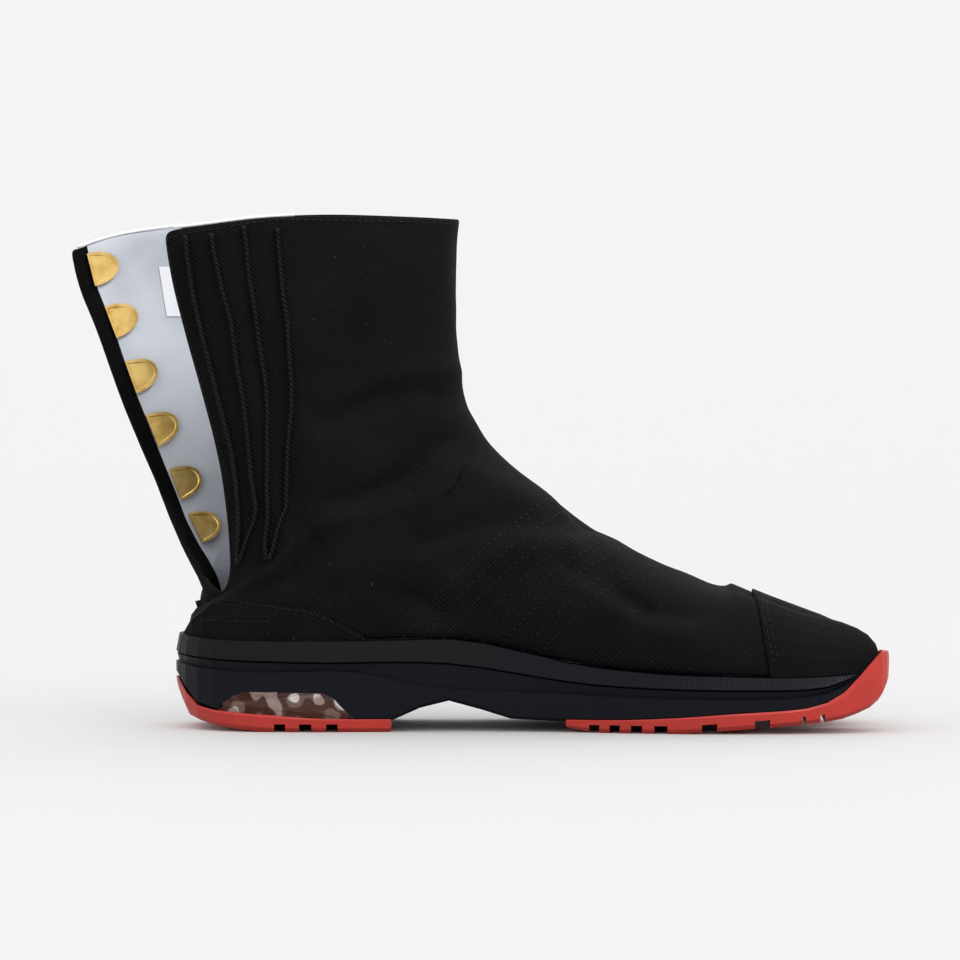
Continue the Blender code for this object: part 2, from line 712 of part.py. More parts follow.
def make_sole():
    heel = rubber_piece("outsole_heel", rows_between(0.0, HEEL_RUBBER_END))
    cut(heel, lug_cutters("heel", HEEL_GAPS))
    forefoot = rubber_piece("outsole_forefoot", rows_between(FOREFOOT_RUBBER_START, 1.0))
    cut(forefoot, lug_cutters("forefoot", FOREFOOT_GAPS))
    midsole = make_midsole()
    window = through_prism("window_cutter", window_profile(0.0, lambda s: -0.2 * HEEL_STACK))
    cut(midsole, [window])
    make_air_cell()


def make_insole():
    inset = FEATHER_INSET + WALL + INSOLE_CLEARANCE

    def edge(extra):
        def offset(row, column):
            r = ALONG_LOBE[row - ROOT_ROW - 1] if row > ROOT_ROW else 0.0
            nose = min(1.0, max(0.0, (r - 0.80) / 0.15))
            return -(inset + extra) * (1.0 - 0.22 * nose)

        return offset

    levels = [
        level(edge(0.0), lambda s: feather_z(s) + GAP),
        level(edge(0.0), lambda s: feather_z(s) + GAP + 0.7 * INSOLE_THICKNESS),
        level(edge(0.5 * INSOLE_THICKNESS), lambda s: feather_z(s) + GAP + INSOLE_THICKNESS),
    ]
    split_row = ROOT_ROW - 1
    normals = outline_normals(split_row, square_root=True)
    return sole_stack("insole", list(range(LAST_ROW + 1)), levels, "insole", normals, split_row)


def half_loop(edge, ridge, edge_side, width, ridge_side, full, count):
    """Points of one half of a section, from its edge up to the ridge. edge and ridge are (x, z)."""
    ratio = min(abs(edge_side) / width, 0.995)
    start = math.asin(ratio ** (full / 2.0))
    first = 0.5 * (1.0 - power(math.cos(start), 2.0 / full))
    sign = math.copysign(1.0, edge_side)
    points = []
    for i in range(count + 1):
        angle = start + (math.pi - start) * i / count
        share = 0.5 * (1.0 - power(math.cos(angle), 2.0 / full))
        share = (share - first) / (1.0 - first)
        side = abs(power(math.sin(angle), 2.0 / full))
        x = edge[0] + (ridge[0] - edge[0]) * share
        z = edge[1] + (ridge[1] - edge[1]) * share
        points.append(Vector((x, ridge_side * share + sign * width * side, z)))
    return points


def seam_half(station):
    """Half the width of the seam strip on the ridge, narrowing to the cleft."""
    share = min(1.0, max(0.0, (station - SEAM_CLOSES_FROM) / (CLEFT_ROOT - SEAM_CLOSES_FROM)))
    return RIDGE_SEAM_HALF + (CLEFT_HALF_GAP - RIDGE_SEAM_HALF) * share


def foot_half(row, medial):
    """Half a section of the foot, from the feather line to the ridge."""
    column = 0 if medial else 3
    x, y, station = edge_point(row, column, -FEATHER_INSET, UPPER_NORMALS)
    at = row_station(row)
    width = smooth(FOOT, "at", "medial" if medial else "lateral", at) * BALL_WIDTH
    width = max(width, abs(y) * 1.004)
    ridge = (along(smooth(FOOT, "at", "ridge_at", at)), height(smooth(FOOT, "at", "ridge_up", at)))
    seam = seam_half(at) * (-1.0 if medial else 1.0)
    ridge_side = smooth(FOOT, "at", "ridge_side", at) * BALL_WIDTH + seam
    full = smooth(FOOT, "at", "full", at)
    edge_side = max(abs(y), 1e-9) * (-1.0 if medial else 1.0)
    edge = (x, feather_z(station) + GAP)
    return half_loop(edge, ridge, edge_side, width, ridge_side, full, MEDIAL_STRIPS)


def lobe_half(row, medial, along_lobe, valley):
    """An arch over one toe lobe, from its outer foot to its foot in the cleft."""
    outer = edge_point(row, 0 if medial else 3, -FEATHER_INSET, UPPER_NORMALS)
    inner = edge_point(row, 1 if medial else 2, -FEATHER_INSET, UPPER_NORMALS)
    column = "big" if medial else "small"
    rise = smooth(LOBES, "along", column, along_lobe) * SHAFT_RISE
    rise *= (1.0 - along_lobe**14) ** 0.5
    points = []
    for i in range(MEDIAL_STRIPS + 1):
        angle = math.pi * i / MEDIAL_STRIPS
        across = 0.5 * (1.0 - power(math.cos(angle), 2.0 / 2.3))
        up = abs(power(math.sin(angle), 2.0 / 2.3))
        foot = 0.0 if i <= MEDIAL_STRIPS / 2 else valley
        x = outer[0] + (inner[0] - outer[0]) * across
        y = outer[1] + (inner[1] - outer[1]) * across
        base = feather_z(outer[2]) * (1 - across) + feather_z(inner[2]) * across + GAP
        points.append(Vector((x, y, base + rise * (foot + (1.0 - foot) * up))))
    return points


def blend_points(first, second, share):
    return [a.lerp(b, share) for a, b in zip(first, second)]


def foot_row(row):
    """A whole section of the foot or toes, from the medial feather line to the lateral one."""
    halves = []
    for medial in (True, False):
        if row > ROOT_ROW:
            r = ALONG_LOBE[row - ROOT_ROW - 1]
            valley = max(0.0, 1.0 - r / ALONG_LOBE[0]) * 0.5
            points = lobe_half(row, medial, r, valley)
        else:
            points = foot_half(row, medial)
            back = (row_station(row) - 0.70) / (CLEFT_ROOT - 0.70)
            if back > 0:
                arch = lobe_half(row, medial, 0.0, 1.0 - 0.35 * back)
                points = blend_points(points, arch, 0.6 * back * back)
        halves.append(points)
    return halves[0] + list(reversed(halves[1]))


def shaft_value(column, step):
    return smooth(SHAFT, "step", column, step)


def collar_lift(x, step):
    bow = shaft_value("bow", step)
    return bow * smooth(COLLAR, "at", "rise", share_of(x)) * SHAFT_RISE


def lengths_along(points):
    """Distance travelled along a line of flat points."""
    return np.concatenate([[0.0], np.cumsum(np.hypot(*np.diff(points, axis=0).T))])


def lateral_curve(step):
    """The far side's section at one step: from the ridge round the back, bent open for the flap."""
    edge, ridge, side = shaft_frame(step)
    medial = shaft_value("medial", step) * BALL_WIDTH
    lateral = shaft_value("lateral", step) * BALL_WIDTH
    full = SHAFT_FULL - (SHAFT_FULL - FOOT[0].full) * max(0.0, 1.0 - step / SLIT_STEP)
    start = math.asin(min(0.995, side / medial) ** (full / 2.0))
    first = 0.5 * (1.0 - power(math.cos(start), 2.0 / full))
    rear = edge[0] - first / (1.0 - first) * (ridge[0] - edge[0])
    count = 240
    angles = np.linspace(math.pi, -math.pi, count)
    flat = []
    for angle in angles:
        share = 0.5 * (1.0 - power(math.cos(angle), 2.0 / full))
        width = lateral if angle > 0 else medial
        y = width * power(math.sin(angle), 2.0 / full)
        flat.append((rear + (ridge[0] - rear) * share, y))
    flat = np.array(flat)
    closed = float(np.interp(start, -angles, lengths_along(flat)))
    opened = shaft_value("open", step)
    if opened > 0:
        moves = np.diff(flat, axis=0)
        lengths = np.hypot(moves[:, 0], moves[:, 1])
        turns = np.unwrap(np.arctan2(moves[:, 1], moves[:, 0]))
        free = int(np.argmax(angles < 0.46 * math.pi))
        turns[free:] = turns[free] + (turns[free:] - turns[free]) * (1.0 - opened)
        steps = np.stack([lengths * np.cos(turns), lengths * np.sin(turns)], axis=1)
        flat = np.vstack([flat[:1], flat[:1] + np.cumsum(steps, axis=0)])
    return flat, lengths_along(flat), closed


def shaft_frame(step):
    """Rear edge and ridge of a shaft section in the XZ plane, and the rear edge's distance sideways."""
    edge = (along(shaft_value("rear_at", step)), height(shaft_value("rear_up", step)))
    ridge = (along(shaft_value("ridge_at", step)), height(shaft_value("ridge_up", step)))
    side = shaft_value("rear_side", step) * BALL_WIDTH
    return edge, ridge, side


def section_height(step, x):
    """Height of a tilted section at x. Behind the slit's edge the flap loses the section's tilt."""
    edge, ridge, _ = shaft_frame(step)
    slope = (ridge[1] - edge[1]) / (ridge[0] - edge[0])
    level_off = min(1.0, max(0.0, (step - SLIT_STEP) / FLAP_LEVELS_OVER))
    behind = 1.0 - 0.85 * level_off * level_off * (3 - 2 * level_off)
    return edge[1] + slope * (x - edge[0]) * (behind if x < edge[0] else 1.0)


def flap_distances(flap_length):
    """Places of the flap's columns, measured back from its hem edge."""
    hem = min(HEM_WIDTH, 0.6 * flap_length)
    step = min(2 * HEM_STEP, 0.1 * flap_length)
    rest = flap_length - hem - step
    return [hem + step + 0.6 * rest, hem + step + 0.25 * rest, hem + step, hem, 0.5 * hem, 0.0]


def shaft_row(step):
    """A whole section of the shaft: medial half, lateral half, then the flap's columns."""
    edge, ridge, side = shaft_frame(step)
    medial = shaft_value("medial", step) * BALL_WIDTH
    full = SHAFT_FULL - (SHAFT_FULL - FOOT[0].full) * max(0.0, 1.0 - step / SLIT_STEP)
    near = half_loop(edge, ridge, -max(side, 1e-9), medial, -RIDGE_SEAM_HALF, full, MEDIAL_STRIPS)
    flat, travelled, closed = lateral_curve(step)
    reach = closed * float(shaft_value("reach", step))
    flap = reach * 0.30 * min(1.0, max(0.0, step - SLIT_STEP) / 0.25)
    ends = [(reach - flap) * i / MEDIAL_STRIPS for i in range(MEDIAL_STRIPS + 1)]
    if flap > 0:
        ends += [reach - d for d in flap_distances(flap)]
    else:
        ends += [reach] * FLAP_STRIPS
    far = []
    for distance in ends:
        x = float(np.interp(distance, travelled, flat[:, 0]))
        strip = RIDGE_SEAM_HALF * max(0.0, 1.0 - distance / (0.5 * travelled[-1]))
        y = float(np.interp(distance, travelled, flat[:, 1])) + strip
        far.append(Vector((x, y, section_height(step, x))))
    if flap == 0.0:
        for index in range(MEDIAL_STRIPS, len(far)):
            far[index] = near[0].copy()
    points = near + far
    for point in points:
        point.z += collar_lift(point.x, step)
    return points


SHAFT_ROWS = sorted(set([i / SHAFT_STEPS for i in range(1, SHAFT_STEPS + 1)] + [SLIT_STEP, 0.97]))
MIDDLE = MEDIAL_STRIPS
FOOT_COLUMNS = 2 * MEDIAL_STRIPS + 2


def upper_faces(add_face, row_count_foot, shaft_steps):
    """Faces of the upper's sheet, over rows from the noses to the heel and on up to the collar."""
    for i in range(row_count_foot - 1):
        row = LAST_ROW - i
        for column in range(FOOT_COLUMNS - 1):
            if column == MIDDLE and row - 1 > ROOT_ROW:
                continue
            add_face(i, column)
    for i in range(row_count_foot - 1, row_count_foot - 1 + len(shaft_steps)):
        above = shaft_steps[i - row_count_foot + 1]
        columns = FOOT_COLUMNS - 1
        if above > SLIT_STEP + 1e-6:
            columns += FLAP_STRIPS
        for column in range(columns):
            add_face(i, column)


def face_outwards(bm):
    """Turn an open sheet's faces away from its own middle."""
    bm.normal_update()
    middle = sum((vert.co for vert in bm.verts), Vector()) / len(bm.verts)
    spread = sum(vert.normal.dot(vert.co - middle) for vert in bm.verts)
    if spread < 0:
        bmesh.ops.reverse_faces(bm, faces=bm.faces)


def upper_sheet(top=1.0):
    """The upper's outer surface up to one step of the shaft: an open mesh, with the hem's columns marked."""
    steps = [step for step in SHAFT_ROWS if step <= top]
    foot_rows = [foot_row(row) for row in range(LAST_ROW, -1, -1)]
    shaft_rows = [shaft_row(step) for step in steps]
    foot_rows = [row + [row[-1].copy() for _ in range(FLAP_STRIPS)] for row in foot_rows]
    bm = bmesh.new()
    hem = bm.verts.layers.float.new("hem")
    foot = bm.verts.layers.int.new("foot")
    bm.verts.layers.float_vector.new("lift")
    grid = [[bm.verts.new(p) for p in row] for row in foot_rows + shaft_rows]
    for i, row in enumerate(grid):
        for column, vert in enumerate(row):
            is_shaft = i >= len(foot_rows)
            if is_shaft and column >= FOOT_COLUMNS + FLAP_STRIPS - 3:
                share = min(1.0, max(0.0, (steps[i - len(foot_rows)] - SLIT_STEP) / 0.15))
                vert[hem] = share
            in_cleft = column in (MIDDLE, MIDDLE + 1) and LAST_ROW - i > ROOT_ROW
            if not is_shaft and (column in (0, FOOT_COLUMNS - 1) or in_cleft):
                vert[foot] = 1

    def add_face(i, column):
        corners = [grid[i][column], grid[i][column + 1], grid[i + 1][column + 1], grid[i + 1][column]]
        bm.faces.new(corners)

    upper_faces(add_face, len(foot_rows), steps)
    loose = [v for v in bm.verts if not v.link_faces]
    bmesh.ops.delete(bm, geom=loose, context="VERTS")
    bmesh.ops.remove_doubles(bm, verts=bm.verts, dist=2e-6)
    bmesh.ops.dissolve_degenerate(bm, edges=bm.edges, dist=2e-6)
    bmesh.ops.triangulate(bm, faces=bm.faces, quad_method="SHORT_EDGE")
    face_outwards(bm)
    lift = bm.verts.layers.float_vector["lift"]
    for vert in bm.verts:
        around = sum((edge.other_vert(vert).normal for edge in vert.link_edges), Vector())
        vert[lift] = (vert.normal + around / len(vert.link_edges)).normalized()
    return bm


def thicken(bm, outward, inward, keep_foot=None):
    """Close an open sheet into a wall: outward and inward give each point's two distances."""
    originals = list(bm.verts)
    faces = list(bm.faces)
    edges = [edge for edge in bm.edges if len(edge.link_faces) == 1]
    lift = bm.verts.layers.float_vector["lift"]
    normals = {vert: vert[lift].normalized() for vert in originals}
    inner = {}
    for vert in originals:
        place = vert.co - normals[vert] * inward(vert)
        if keep_foot is not None and vert[keep_foot]:
            place.z = vert.co.z
        inner[vert] = bm.verts.new(place)
    for face in faces:
        bm.faces.new([inner[v] for v in reversed(face.verts)])
    for edge in edges:
        loop = edge.link_loops[0]
        a = loop.vert
        b = loop.link_loop_next.vert
        bm.faces.new((b, a, inner[a], inner[b]))
    for vert in originals:
        shift = normals[vert] * outward(vert)
        if keep_foot is not None and vert[keep_foot]:
            shift.z = 0.0
        vert.co += shift
    return bm


def make_upper():
    bm = upper_sheet()
    hem = bm.verts.layers.float["hem"]
    foot = bm.verts.layers.int["foot"]
    thicken(bm, lambda v: HEM_STEP * v[hem], lambda v: WALL + HEM_STEP * v[hem], foot)
    return finish_object("upper", bm, "twill", 50.0)


def skin_tree():
    """The upper's outer surface as a tree that rays can be cast on."""
    bm = upper_sheet()
    tree = BVHTree.FromBMesh(bm)
    bm.free()
    return tree


def cast(tree, origin, direction):
    place, normal, _, _ = tree.ray_cast(Vector(origin), Vector(direction))
    if place is None:
        return None
    if normal.dot(Vector(direction)) > 0:
        normal.negate()
    return place, normal


def trim(bm, beyond):
    """Cut an open sheet along the line where beyond() is zero, and drop what lies past it."""
    past = {}
    for vert in bm.verts:
        value = beyond(vert.co)
        past[vert] = 0.0 if abs(value) < GAP else value
    for edge in list(bm.edges):
        first, second = edge.verts
        if past[first] * past[second] < 0:
            share = past[first] / (past[first] - past[second])
            _, made = bmesh.utils.edge_split(edge, first, share)
            past[made] = 0.0
    for face in list(bm.faces):
        line = [vert for vert in face.verts if past[vert] == 0.0]
        sides = [past[vert] for vert in face.verts]
        if len(line) == 2 and min(sides) < 0 < max(sides):
            bmesh.utils.face_split(face, line[0], line[1])
    lost = [face for face in bm.faces if max(past[vert] for vert in face.verts) > 0]
    bmesh.ops.delete(bm, geom=lost, context="FACES")


def sewn_overlay(name, beyond):
    """A thin overlay: the upper's surface lifted clear of it and trimmed where beyond() is positive."""
    bm = upper_sheet(OVERLAY_TOP)
    foot = bm.verts.layers.int["foot"]
    trim(bm, beyond)
    for vert in bm.verts:
        station = min(1.0, max(0.0, share_of(vert.co.x)))
        low = vert.co.z < feather_z(station) + 4 * GAP
        vert[foot] = 1 if vert[foot] or (vert.is_boundary and low) else 0
    thicken(bm, lambda v: GAP + OVERLAY, lambda v: -GAP, foot)
    return finish_object(name, bm, "twill", 50.0)


def make_toe_caps():
    """The overlays over the toe lobes, forward of a slanted seam."""
    cleft = CLEFT_LINE * BALL_WIDTH
    lobe_length = (1.0 - CLEFT_ROOT) * SOLE_LENGTH
    root = along(CLEFT_ROOT)
    low = feather_z(CLEFT_ROOT)
    high = low + LOBES[0].big * SHAFT_RISE

    def seam(point):
        rise = (point.z - low) / (high - low)
        return root + lobe_length * (CAP_SEAM_FOOT + (CAP_SEAM_TOP - CAP_SEAM_FOOT) * rise) - point.x

    sewn_overlay("toe_cap_big", lambda point: max(seam(point), point.y - cleft))
    sewn_overlay("toe_cap_small", lambda point: max(seam(point), cleft - point.y))


def make_heel_counter():
    """The overlay round the heel, from the feather line up to its own curved edge."""

    def above(point):
        at = min(COUNTER[-1].at, max(COUNTER[0].at, share_of(point.x)))
        over = point.z - height(float(smooth(COUNTER, "at", "rise", at)))
        ahead = point.x - along(COUNTER[-1].at)
        return max(over, ahead)

    sewn_overlay("heel_counter", above)


def make_cord(name, route, tree):
    """A raised cord, laid on the medial panel along its route seen from the side."""
    data = bpy.data.curves.new(name, "CURVE")
    data.dimensions = "3D"
    data.bevel_depth = CORD_DIAMETER / 2
    data.bevel_resolution = 1
    data.use_fill_caps = True
    spline = data.splines.new("POLY")
    points = []
    for point in route:
        hit = cast(tree, (along(point.at), -BALL_WIDTH, height(point.up)), (0.0, 1.0, 0.0))
        points.append(hit[0] + hit[1] * (CORD_DIAMETER / 2 + GAP))
    spline.points.add(len(points) - 1)
    for target, place in zip(spline.points, points):
        target.co = (*place, 1.0)
    made = bpy.data.objects.new(name, data)
    data.materials.append(material("cord"))
    bpy.context.scene.collection.objects.link(made)
    return made


def hem_edge():
    """The flap's rear edge, from the collar down to the slit's foot."""
    return [shaft_row(step)[-1] for step in reversed(SHAFT_ROWS) if step > SLIT_STEP]


def along_edge(edge, lengths, at):
    """The place at a distance along the hem's edge."""
    return Vector([float(np.interp(at, lengths, [point[axis] for point in edge])) for axis in range(3)])


def make_clasps(tree):
    """Half-oval clasps on the lining, each with its straight edge along the hem."""
    edge = hem_edge()
    lengths = [0.0]
    for a, b in zip(edge[:-1], edge[1:]):
        lengths.append(lengths[-1] + (b - a).length)
    for number in range(1, CLASP_COUNT + 1):
        at = CLASP_FIRST + CLASP_PITCH * (number - 1)
        centre = along_edge(edge, lengths, at)
        below = along_edge(edge, lengths, at + CLASP_LENGTH / 2)
        above = along_edge(edge, lengths, at - CLASP_LENGTH / 2)
        down = Vector((below.x - above.x, 0.0, below.z - above.z)).normalized()
        forward = Vector((-down.z, 0.0, down.x))
        if forward.x < 0:
            forward.negate()
        start = Vector((centre.x, 0.0, centre.z)) + forward * (HEM_WIDTH + 3 * HEM_STEP)
        corners = []
        for move in (down * -0.45 * CLASP_LENGTH, down * 0.45 * CLASP_LENGTH, forward * CLASP_REACH):
            place = start + move
            hit = cast(tree, (place.x, -BALL_WIDTH, place.z), (0.0, 1.0, 0.0))
            corners.append(hit[0])
        normal = (corners[1] - corners[0]).cross(corners[2] - corners[0]).normalized()
        if normal.y > 0:
            normal.negate()
        long_axis = (corners[1] - corners[0]).normalized()
        out_axis = normal.cross(long_axis)
        if out_axis.dot(forward) < 0:
            out_axis.negate()
        seat = (corners[0] + corners[1]) / 2 + normal * (WALL + 3 * GAP)
        clasp_plate(f"clasp_{number}", seat, long_axis, out_axis, normal)


def clasp_plate(name, seat, long_axis, out_axis, normal):
    """A half-oval plate with a raised rim round a sunk field."""
    outline = []
    steps = 14
    for i in range(steps + 1):
        angle = math.pi * i / steps
        long = -0.5 * CLASP_LENGTH * power(math.cos(angle), 0.9)
        out = CLASP_REACH * power(math.sin(angle), 0.9)
        outline.append((long, out))
    bm = bmesh.new()
    low = [bm.verts.new(seat + long_axis * a + out_axis * b) for a, b in outline]
    high = [bm.verts.new(seat + long_axis * a + out_axis * b + normal * CLASP_THICKNESS) for a, b in outline]
    count = len(outline)
    bm.faces.new(low)
    top = bm.faces.new(list(reversed(high)))
    for i in range(count):
        j = (i + 1) % count
        bm.faces.new((low[j], low[i], high[i], high[j]))
    bmesh.ops.recalc_face_normals(bm, faces=bm.faces)
    bmesh.ops.inset_region(bm, faces=[top], thickness=CLASP_RIM, depth=0.0)
    bmesh.ops.inset_region(bm, faces=[top], thickness=0.3 * CLASP_RIM, depth=-0.25 * CLASP_RIM)
    return finish_object(name, bm, "brass", 25.0)


def build():
    clear_scene()
    make_sole()
    make_insole()
    make_upper()
    tree = skin_tree()
    make_toe_caps()
    make_heel_counter()
    make_cord("loop_cord_rear", REAR_CORD, tree)
    make_cord("loop_cord_front", FRONT_CORD, tree)
    make_clasps(tree)


build()
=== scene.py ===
# %% [markdown]
# # Dressing a split-toe work boot
#
# The CAD frame already holds the boot's real shapes. This lesson gives them their looks: black twill with
# creases and stitching, a pale lining, twisted loop cords, brass clasps, a moulded sole and red rubber.
# Lengths are in metres, with +X to the toes, +Y to the lateral side and +Z up.

# %% Load the frame
import math

import bmesh
import bpy
import numpy as np
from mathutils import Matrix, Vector, noise
from mathutils.bvhtree import BVHTree


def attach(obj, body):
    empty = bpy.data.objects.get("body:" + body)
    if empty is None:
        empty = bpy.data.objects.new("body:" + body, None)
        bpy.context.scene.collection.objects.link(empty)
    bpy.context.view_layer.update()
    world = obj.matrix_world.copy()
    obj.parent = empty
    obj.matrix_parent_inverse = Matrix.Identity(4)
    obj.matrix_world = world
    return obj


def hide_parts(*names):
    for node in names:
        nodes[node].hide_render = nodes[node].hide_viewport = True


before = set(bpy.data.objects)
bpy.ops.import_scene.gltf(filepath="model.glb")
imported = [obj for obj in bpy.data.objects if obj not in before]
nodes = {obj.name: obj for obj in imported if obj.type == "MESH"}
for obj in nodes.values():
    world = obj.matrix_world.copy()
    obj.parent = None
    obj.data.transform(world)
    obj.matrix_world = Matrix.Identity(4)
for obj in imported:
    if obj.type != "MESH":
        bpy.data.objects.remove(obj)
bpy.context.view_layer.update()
MM = 0.001
scene = bpy.context.scene
print("CAD nodes:", len(nodes))

# %% [markdown]
# ## Camera
#
# The camera stands three metres away with a long lens, a little above the collar, as for a shop picture.
# The lens follows from the width that the picture has to show at the boot.

# %% Camera
CAMERA_FAR_CLIP = 30.0
LOOK_AT = Vector((0.0744, 0.0, 0.0985))
CAMERA_PLACE = Vector((0.0744, -3.0, 0.2300))
PICTURE_WIDTH = 0.384
SENSOR = 36.0

camera_data = bpy.data.cameras.new("camera")
camera_data.sensor_width = SENSOR
camera_data.lens = SENSOR * (LOOK_AT - CAMERA_PLACE).length / PICTURE_WIDTH
camera_data.clip_end = CAMERA_FAR_CLIP
camera = bpy.data.objects.new("camera", camera_data)
camera.location = CAMERA_PLACE
camera.rotation_euler = (LOOK_AT - CAMERA_PLACE).to_track_quat("-Z", "Y").to_euler()
scene.collection.objects.link(camera)
scene.camera = camera
print("lens:", round(camera_data.lens), "mm")


# %% [markdown]
# ## Two helpers
#
# Every piece of the looks is a mesh object at the origin, and every finish is a Principled material. Both
# are made in the same way each time, so each has one short function.

# %% A new mesh object and a new material
def add_mesh(name, points, faces, material, smooth=True):
    """A mesh object that stays at the origin, with its place in its points."""
    mesh = bpy.data.meshes.new(name)
    mesh.from_pydata([tuple(point) for point in points], [], faces)
    mesh.validate()
    if smooth:
        mesh.shade_smooth()
    mesh.materials.append(material)
    made = bpy.data.objects.new(name, mesh)
    scene.collection.objects.link(made)
    return made


def new_material(name, colour, roughness, **sockets):
    """A Principled material. Extra sockets are named with underscores for spaces."""
    material = bpy.data.materials.new(name)
    material.use_nodes = True
    shader = material.node_tree.nodes["Principled BSDF"]
    shader.inputs["Base Color"].default_value = (*colour, 1.0)
    shader.inputs["Roughness"].default_value = roughness
    for key, value in sockets.items():
        shader.inputs[key.replace("_", " ")].default_value = value
    return material


# %% [markdown]
# ## Floor and lights
#
# A shop picture has one pale tone all over. The floor is a plain matt sheet that bends up into a wall. White
# light from all round makes it one even tone, and the three lamps leave it out, so they only shape the boot.

# %% Floor
FLOOR_HALF = 4.0
FLOOR_FRONT = -4.0
CURVE_START = 1.2
CURVE_RADIUS = 1.0
CURVE_STEPS = 12
WALL_TOP = 4.0
FLOOR_WHITE = (0.90, 0.90, 0.90)

floor_line = [(FLOOR_FRONT, 0.0), (CURVE_START, 0.0)]
for step in range(1, CURVE_STEPS + 1):
    angle = math.pi / 2 * step / CURVE_STEPS
    rise = CURVE_RADIUS * (1 - math.cos(angle))
    floor_line.append((CURVE_START + CURVE_RADIUS * math.sin(angle), rise))
floor_line.append((CURVE_START + CURVE_RADIUS, WALL_TOP))
floor_points = [(x, y, z) for y, z in floor_line for x in (-FLOOR_HALF, FLOOR_HALF)]
floor_faces = [(2 * i, 2 * i + 1, 2 * i + 3, 2 * i + 2) for i in range(len(floor_line) - 1)]
floor = add_mesh("floor", floor_points, floor_faces, new_material("floor", FLOOR_WHITE, 0.9))
print("floor and wall, in faces:", len(floor_faces))

# %% A light group that leaves the floor out
unlit = bpy.data.collections.new("unlit")
unlit.objects.link(floor)
unlit.collection_objects[0].light_linking.link_state = "EXCLUDE"


# %% Lights
def add_area(name, place, target, size, power):
    """A square area light aimed at a point."""
    data = bpy.data.lights.new(name, "AREA")
    data.size = size
    data.energy = power
    light = bpy.data.objects.new(name, data)
    light.light_linking.receiver_collection = unlit
    light.location = place
    light.rotation_euler = (Vector(target) - Vector(place)).to_track_quat("-Z", "Y").to_euler()
    scene.collection.objects.link(light)


add_area("key", (0.9, -1.0, 1.6), (0.07, 0, 0.08), 0.6, 40.0)
add_area("fill", (-1.4, -1.4, 0.8), (0.0, 0, 0.1), 1.0, 3.0)
add_area("top", (0.1, 0.3, 1.9), (0.05, 0, 0.1), 1.0, 16.0)
WORLD_STRENGTH = 1.04
world = bpy.data.worlds.new("world")
world.use_nodes = True
world.node_tree.nodes["Background"].inputs["Color"].default_value = (1, 1, 1, 1)
world.node_tree.nodes["Background"].inputs["Strength"].default_value = WORLD_STRENGTH
scene.world = world
scene.view_settings.view_transform = "Standard"
print("lights: 3")


# %% [markdown]
# ## Materials
#
# A finish could be painted as an image. Here every one is worked out from the point's place on the boot, so
# it has no seams and needs no unwrapping. A small helper adds the shader nodes and links them.

# %% Node helper
class Wiring:
    """Adds nodes to a material and links them to its Principled shader."""

    def __init__(self, material):
        self.tree = material.node_tree
        self.shader = self.tree.nodes["Principled BSDF"]
        self.place = self.node("ShaderNodeTexCoord").outputs["Object"]

    def node(self, kind, **values):
        made = self.tree.nodes.new(kind)
        for key, value in values.items():
            if key in made.inputs:
                made.inputs[key].default_value = value
            else:
                setattr(made, key, value)
        return made

    def link(self, source, target):
        self.tree.links.new(source, target)

    def math(self, operation, a, b):
        made = self.node("ShaderNodeMath", operation=operation)
        for socket, value in zip(made.inputs, (a, b)):
            if isinstance(value, (int, float)):
                socket.default_value = value
            else:
                self.link(value, socket)
        return made.outputs[0]

    def noise(self, scale, detail=3.0):
        made = self.node("ShaderNodeTexNoise", Scale=scale, Detail=detail)
        self.link(self.place, made.inputs["Vector"])
        return made.outputs["Fac"]

    def wave(self, scale, direction, distortion=0.0):
        made = self.node("ShaderNodeTexWave", bands_direction=direction, Scale=scale, Distortion=distortion)
        self.link(self.place, made.inputs["Vector"])
        return made.outputs["Fac"]

    def mix(self, share, first, second):
        made = self.node("ShaderNodeMix", data_type="RGBA")
        self.link(share, made.inputs[0])
        for socket, value in ((made.inputs[6], first), (made.inputs[7], second)):
            if isinstance(value, tuple):
                socket.default_value = (*value, 1.0)
            else:
                self.link(value, socket)
        return made.outputs[2]

    def steps(self, value, low, high):
        made = self.node("ShaderNodeMapRange", interpolation_type="SMOOTHSTEP")
        made.inputs["From Min"].default_value = low
        made.inputs["From Max"].default_value = high
        self.link(value, made.inputs["Value"])
        return made.outputs["Result"]

    def colour(self, source):
        self.link(source, self.shader.inputs["Base Color"])

    def bump(self, source, strength, distance):
        made = self.node("ShaderNodeBump", Strength=strength, Distance=distance)
        self.link(source, made.inputs["Height"])
        self.link(made.outputs["Normal"], self.shader.inputs["Normal"])


# %% [markdown]
# ### Cloth
#
# Twill is a fine diagonal wave that lifts the surface and changes its colour a little, with soft uneven
# patches where the black cloth has faded, and a few specks of lint. The lining is plain and matt. The hem is
# the same black cloth folded over the edge, so the lining turns black where it lies under the hem.

# %% Twill and lining
LINT = (0.030, 0.030, 0.034)
TWILL_DARK = (0.0008, 0.0008, 0.0010)
TWILL_LIT = (0.0040, 0.0038, 0.0046)
LINING_PALE = (0.44, 0.46, 0.50)
LINING_SHADE = (0.32, 0.34, 0.38)


def twill_weave(wiring):
    """Height and colour of the black twill."""
    diagonal = wiring.wave(380.0, "DIAGONAL", 0.8)
    threads = wiring.noise(2600.0, 2.0)
    patches = wiring.noise(28.0, 4.0)
    height = wiring.math("ADD", diagonal, wiring.math("MULTIPLY", threads, 0.7))
    share = wiring.math("MULTIPLY", diagonal, wiring.steps(patches, 0.25, 0.75))
    colour = wiring.mix(share, TWILL_DARK, TWILL_LIT)
    lint = wiring.steps(wiring.noise(900.0, 1.0), 0.775, 0.80)
    return height, wiring.mix(lint, colour, LINT)


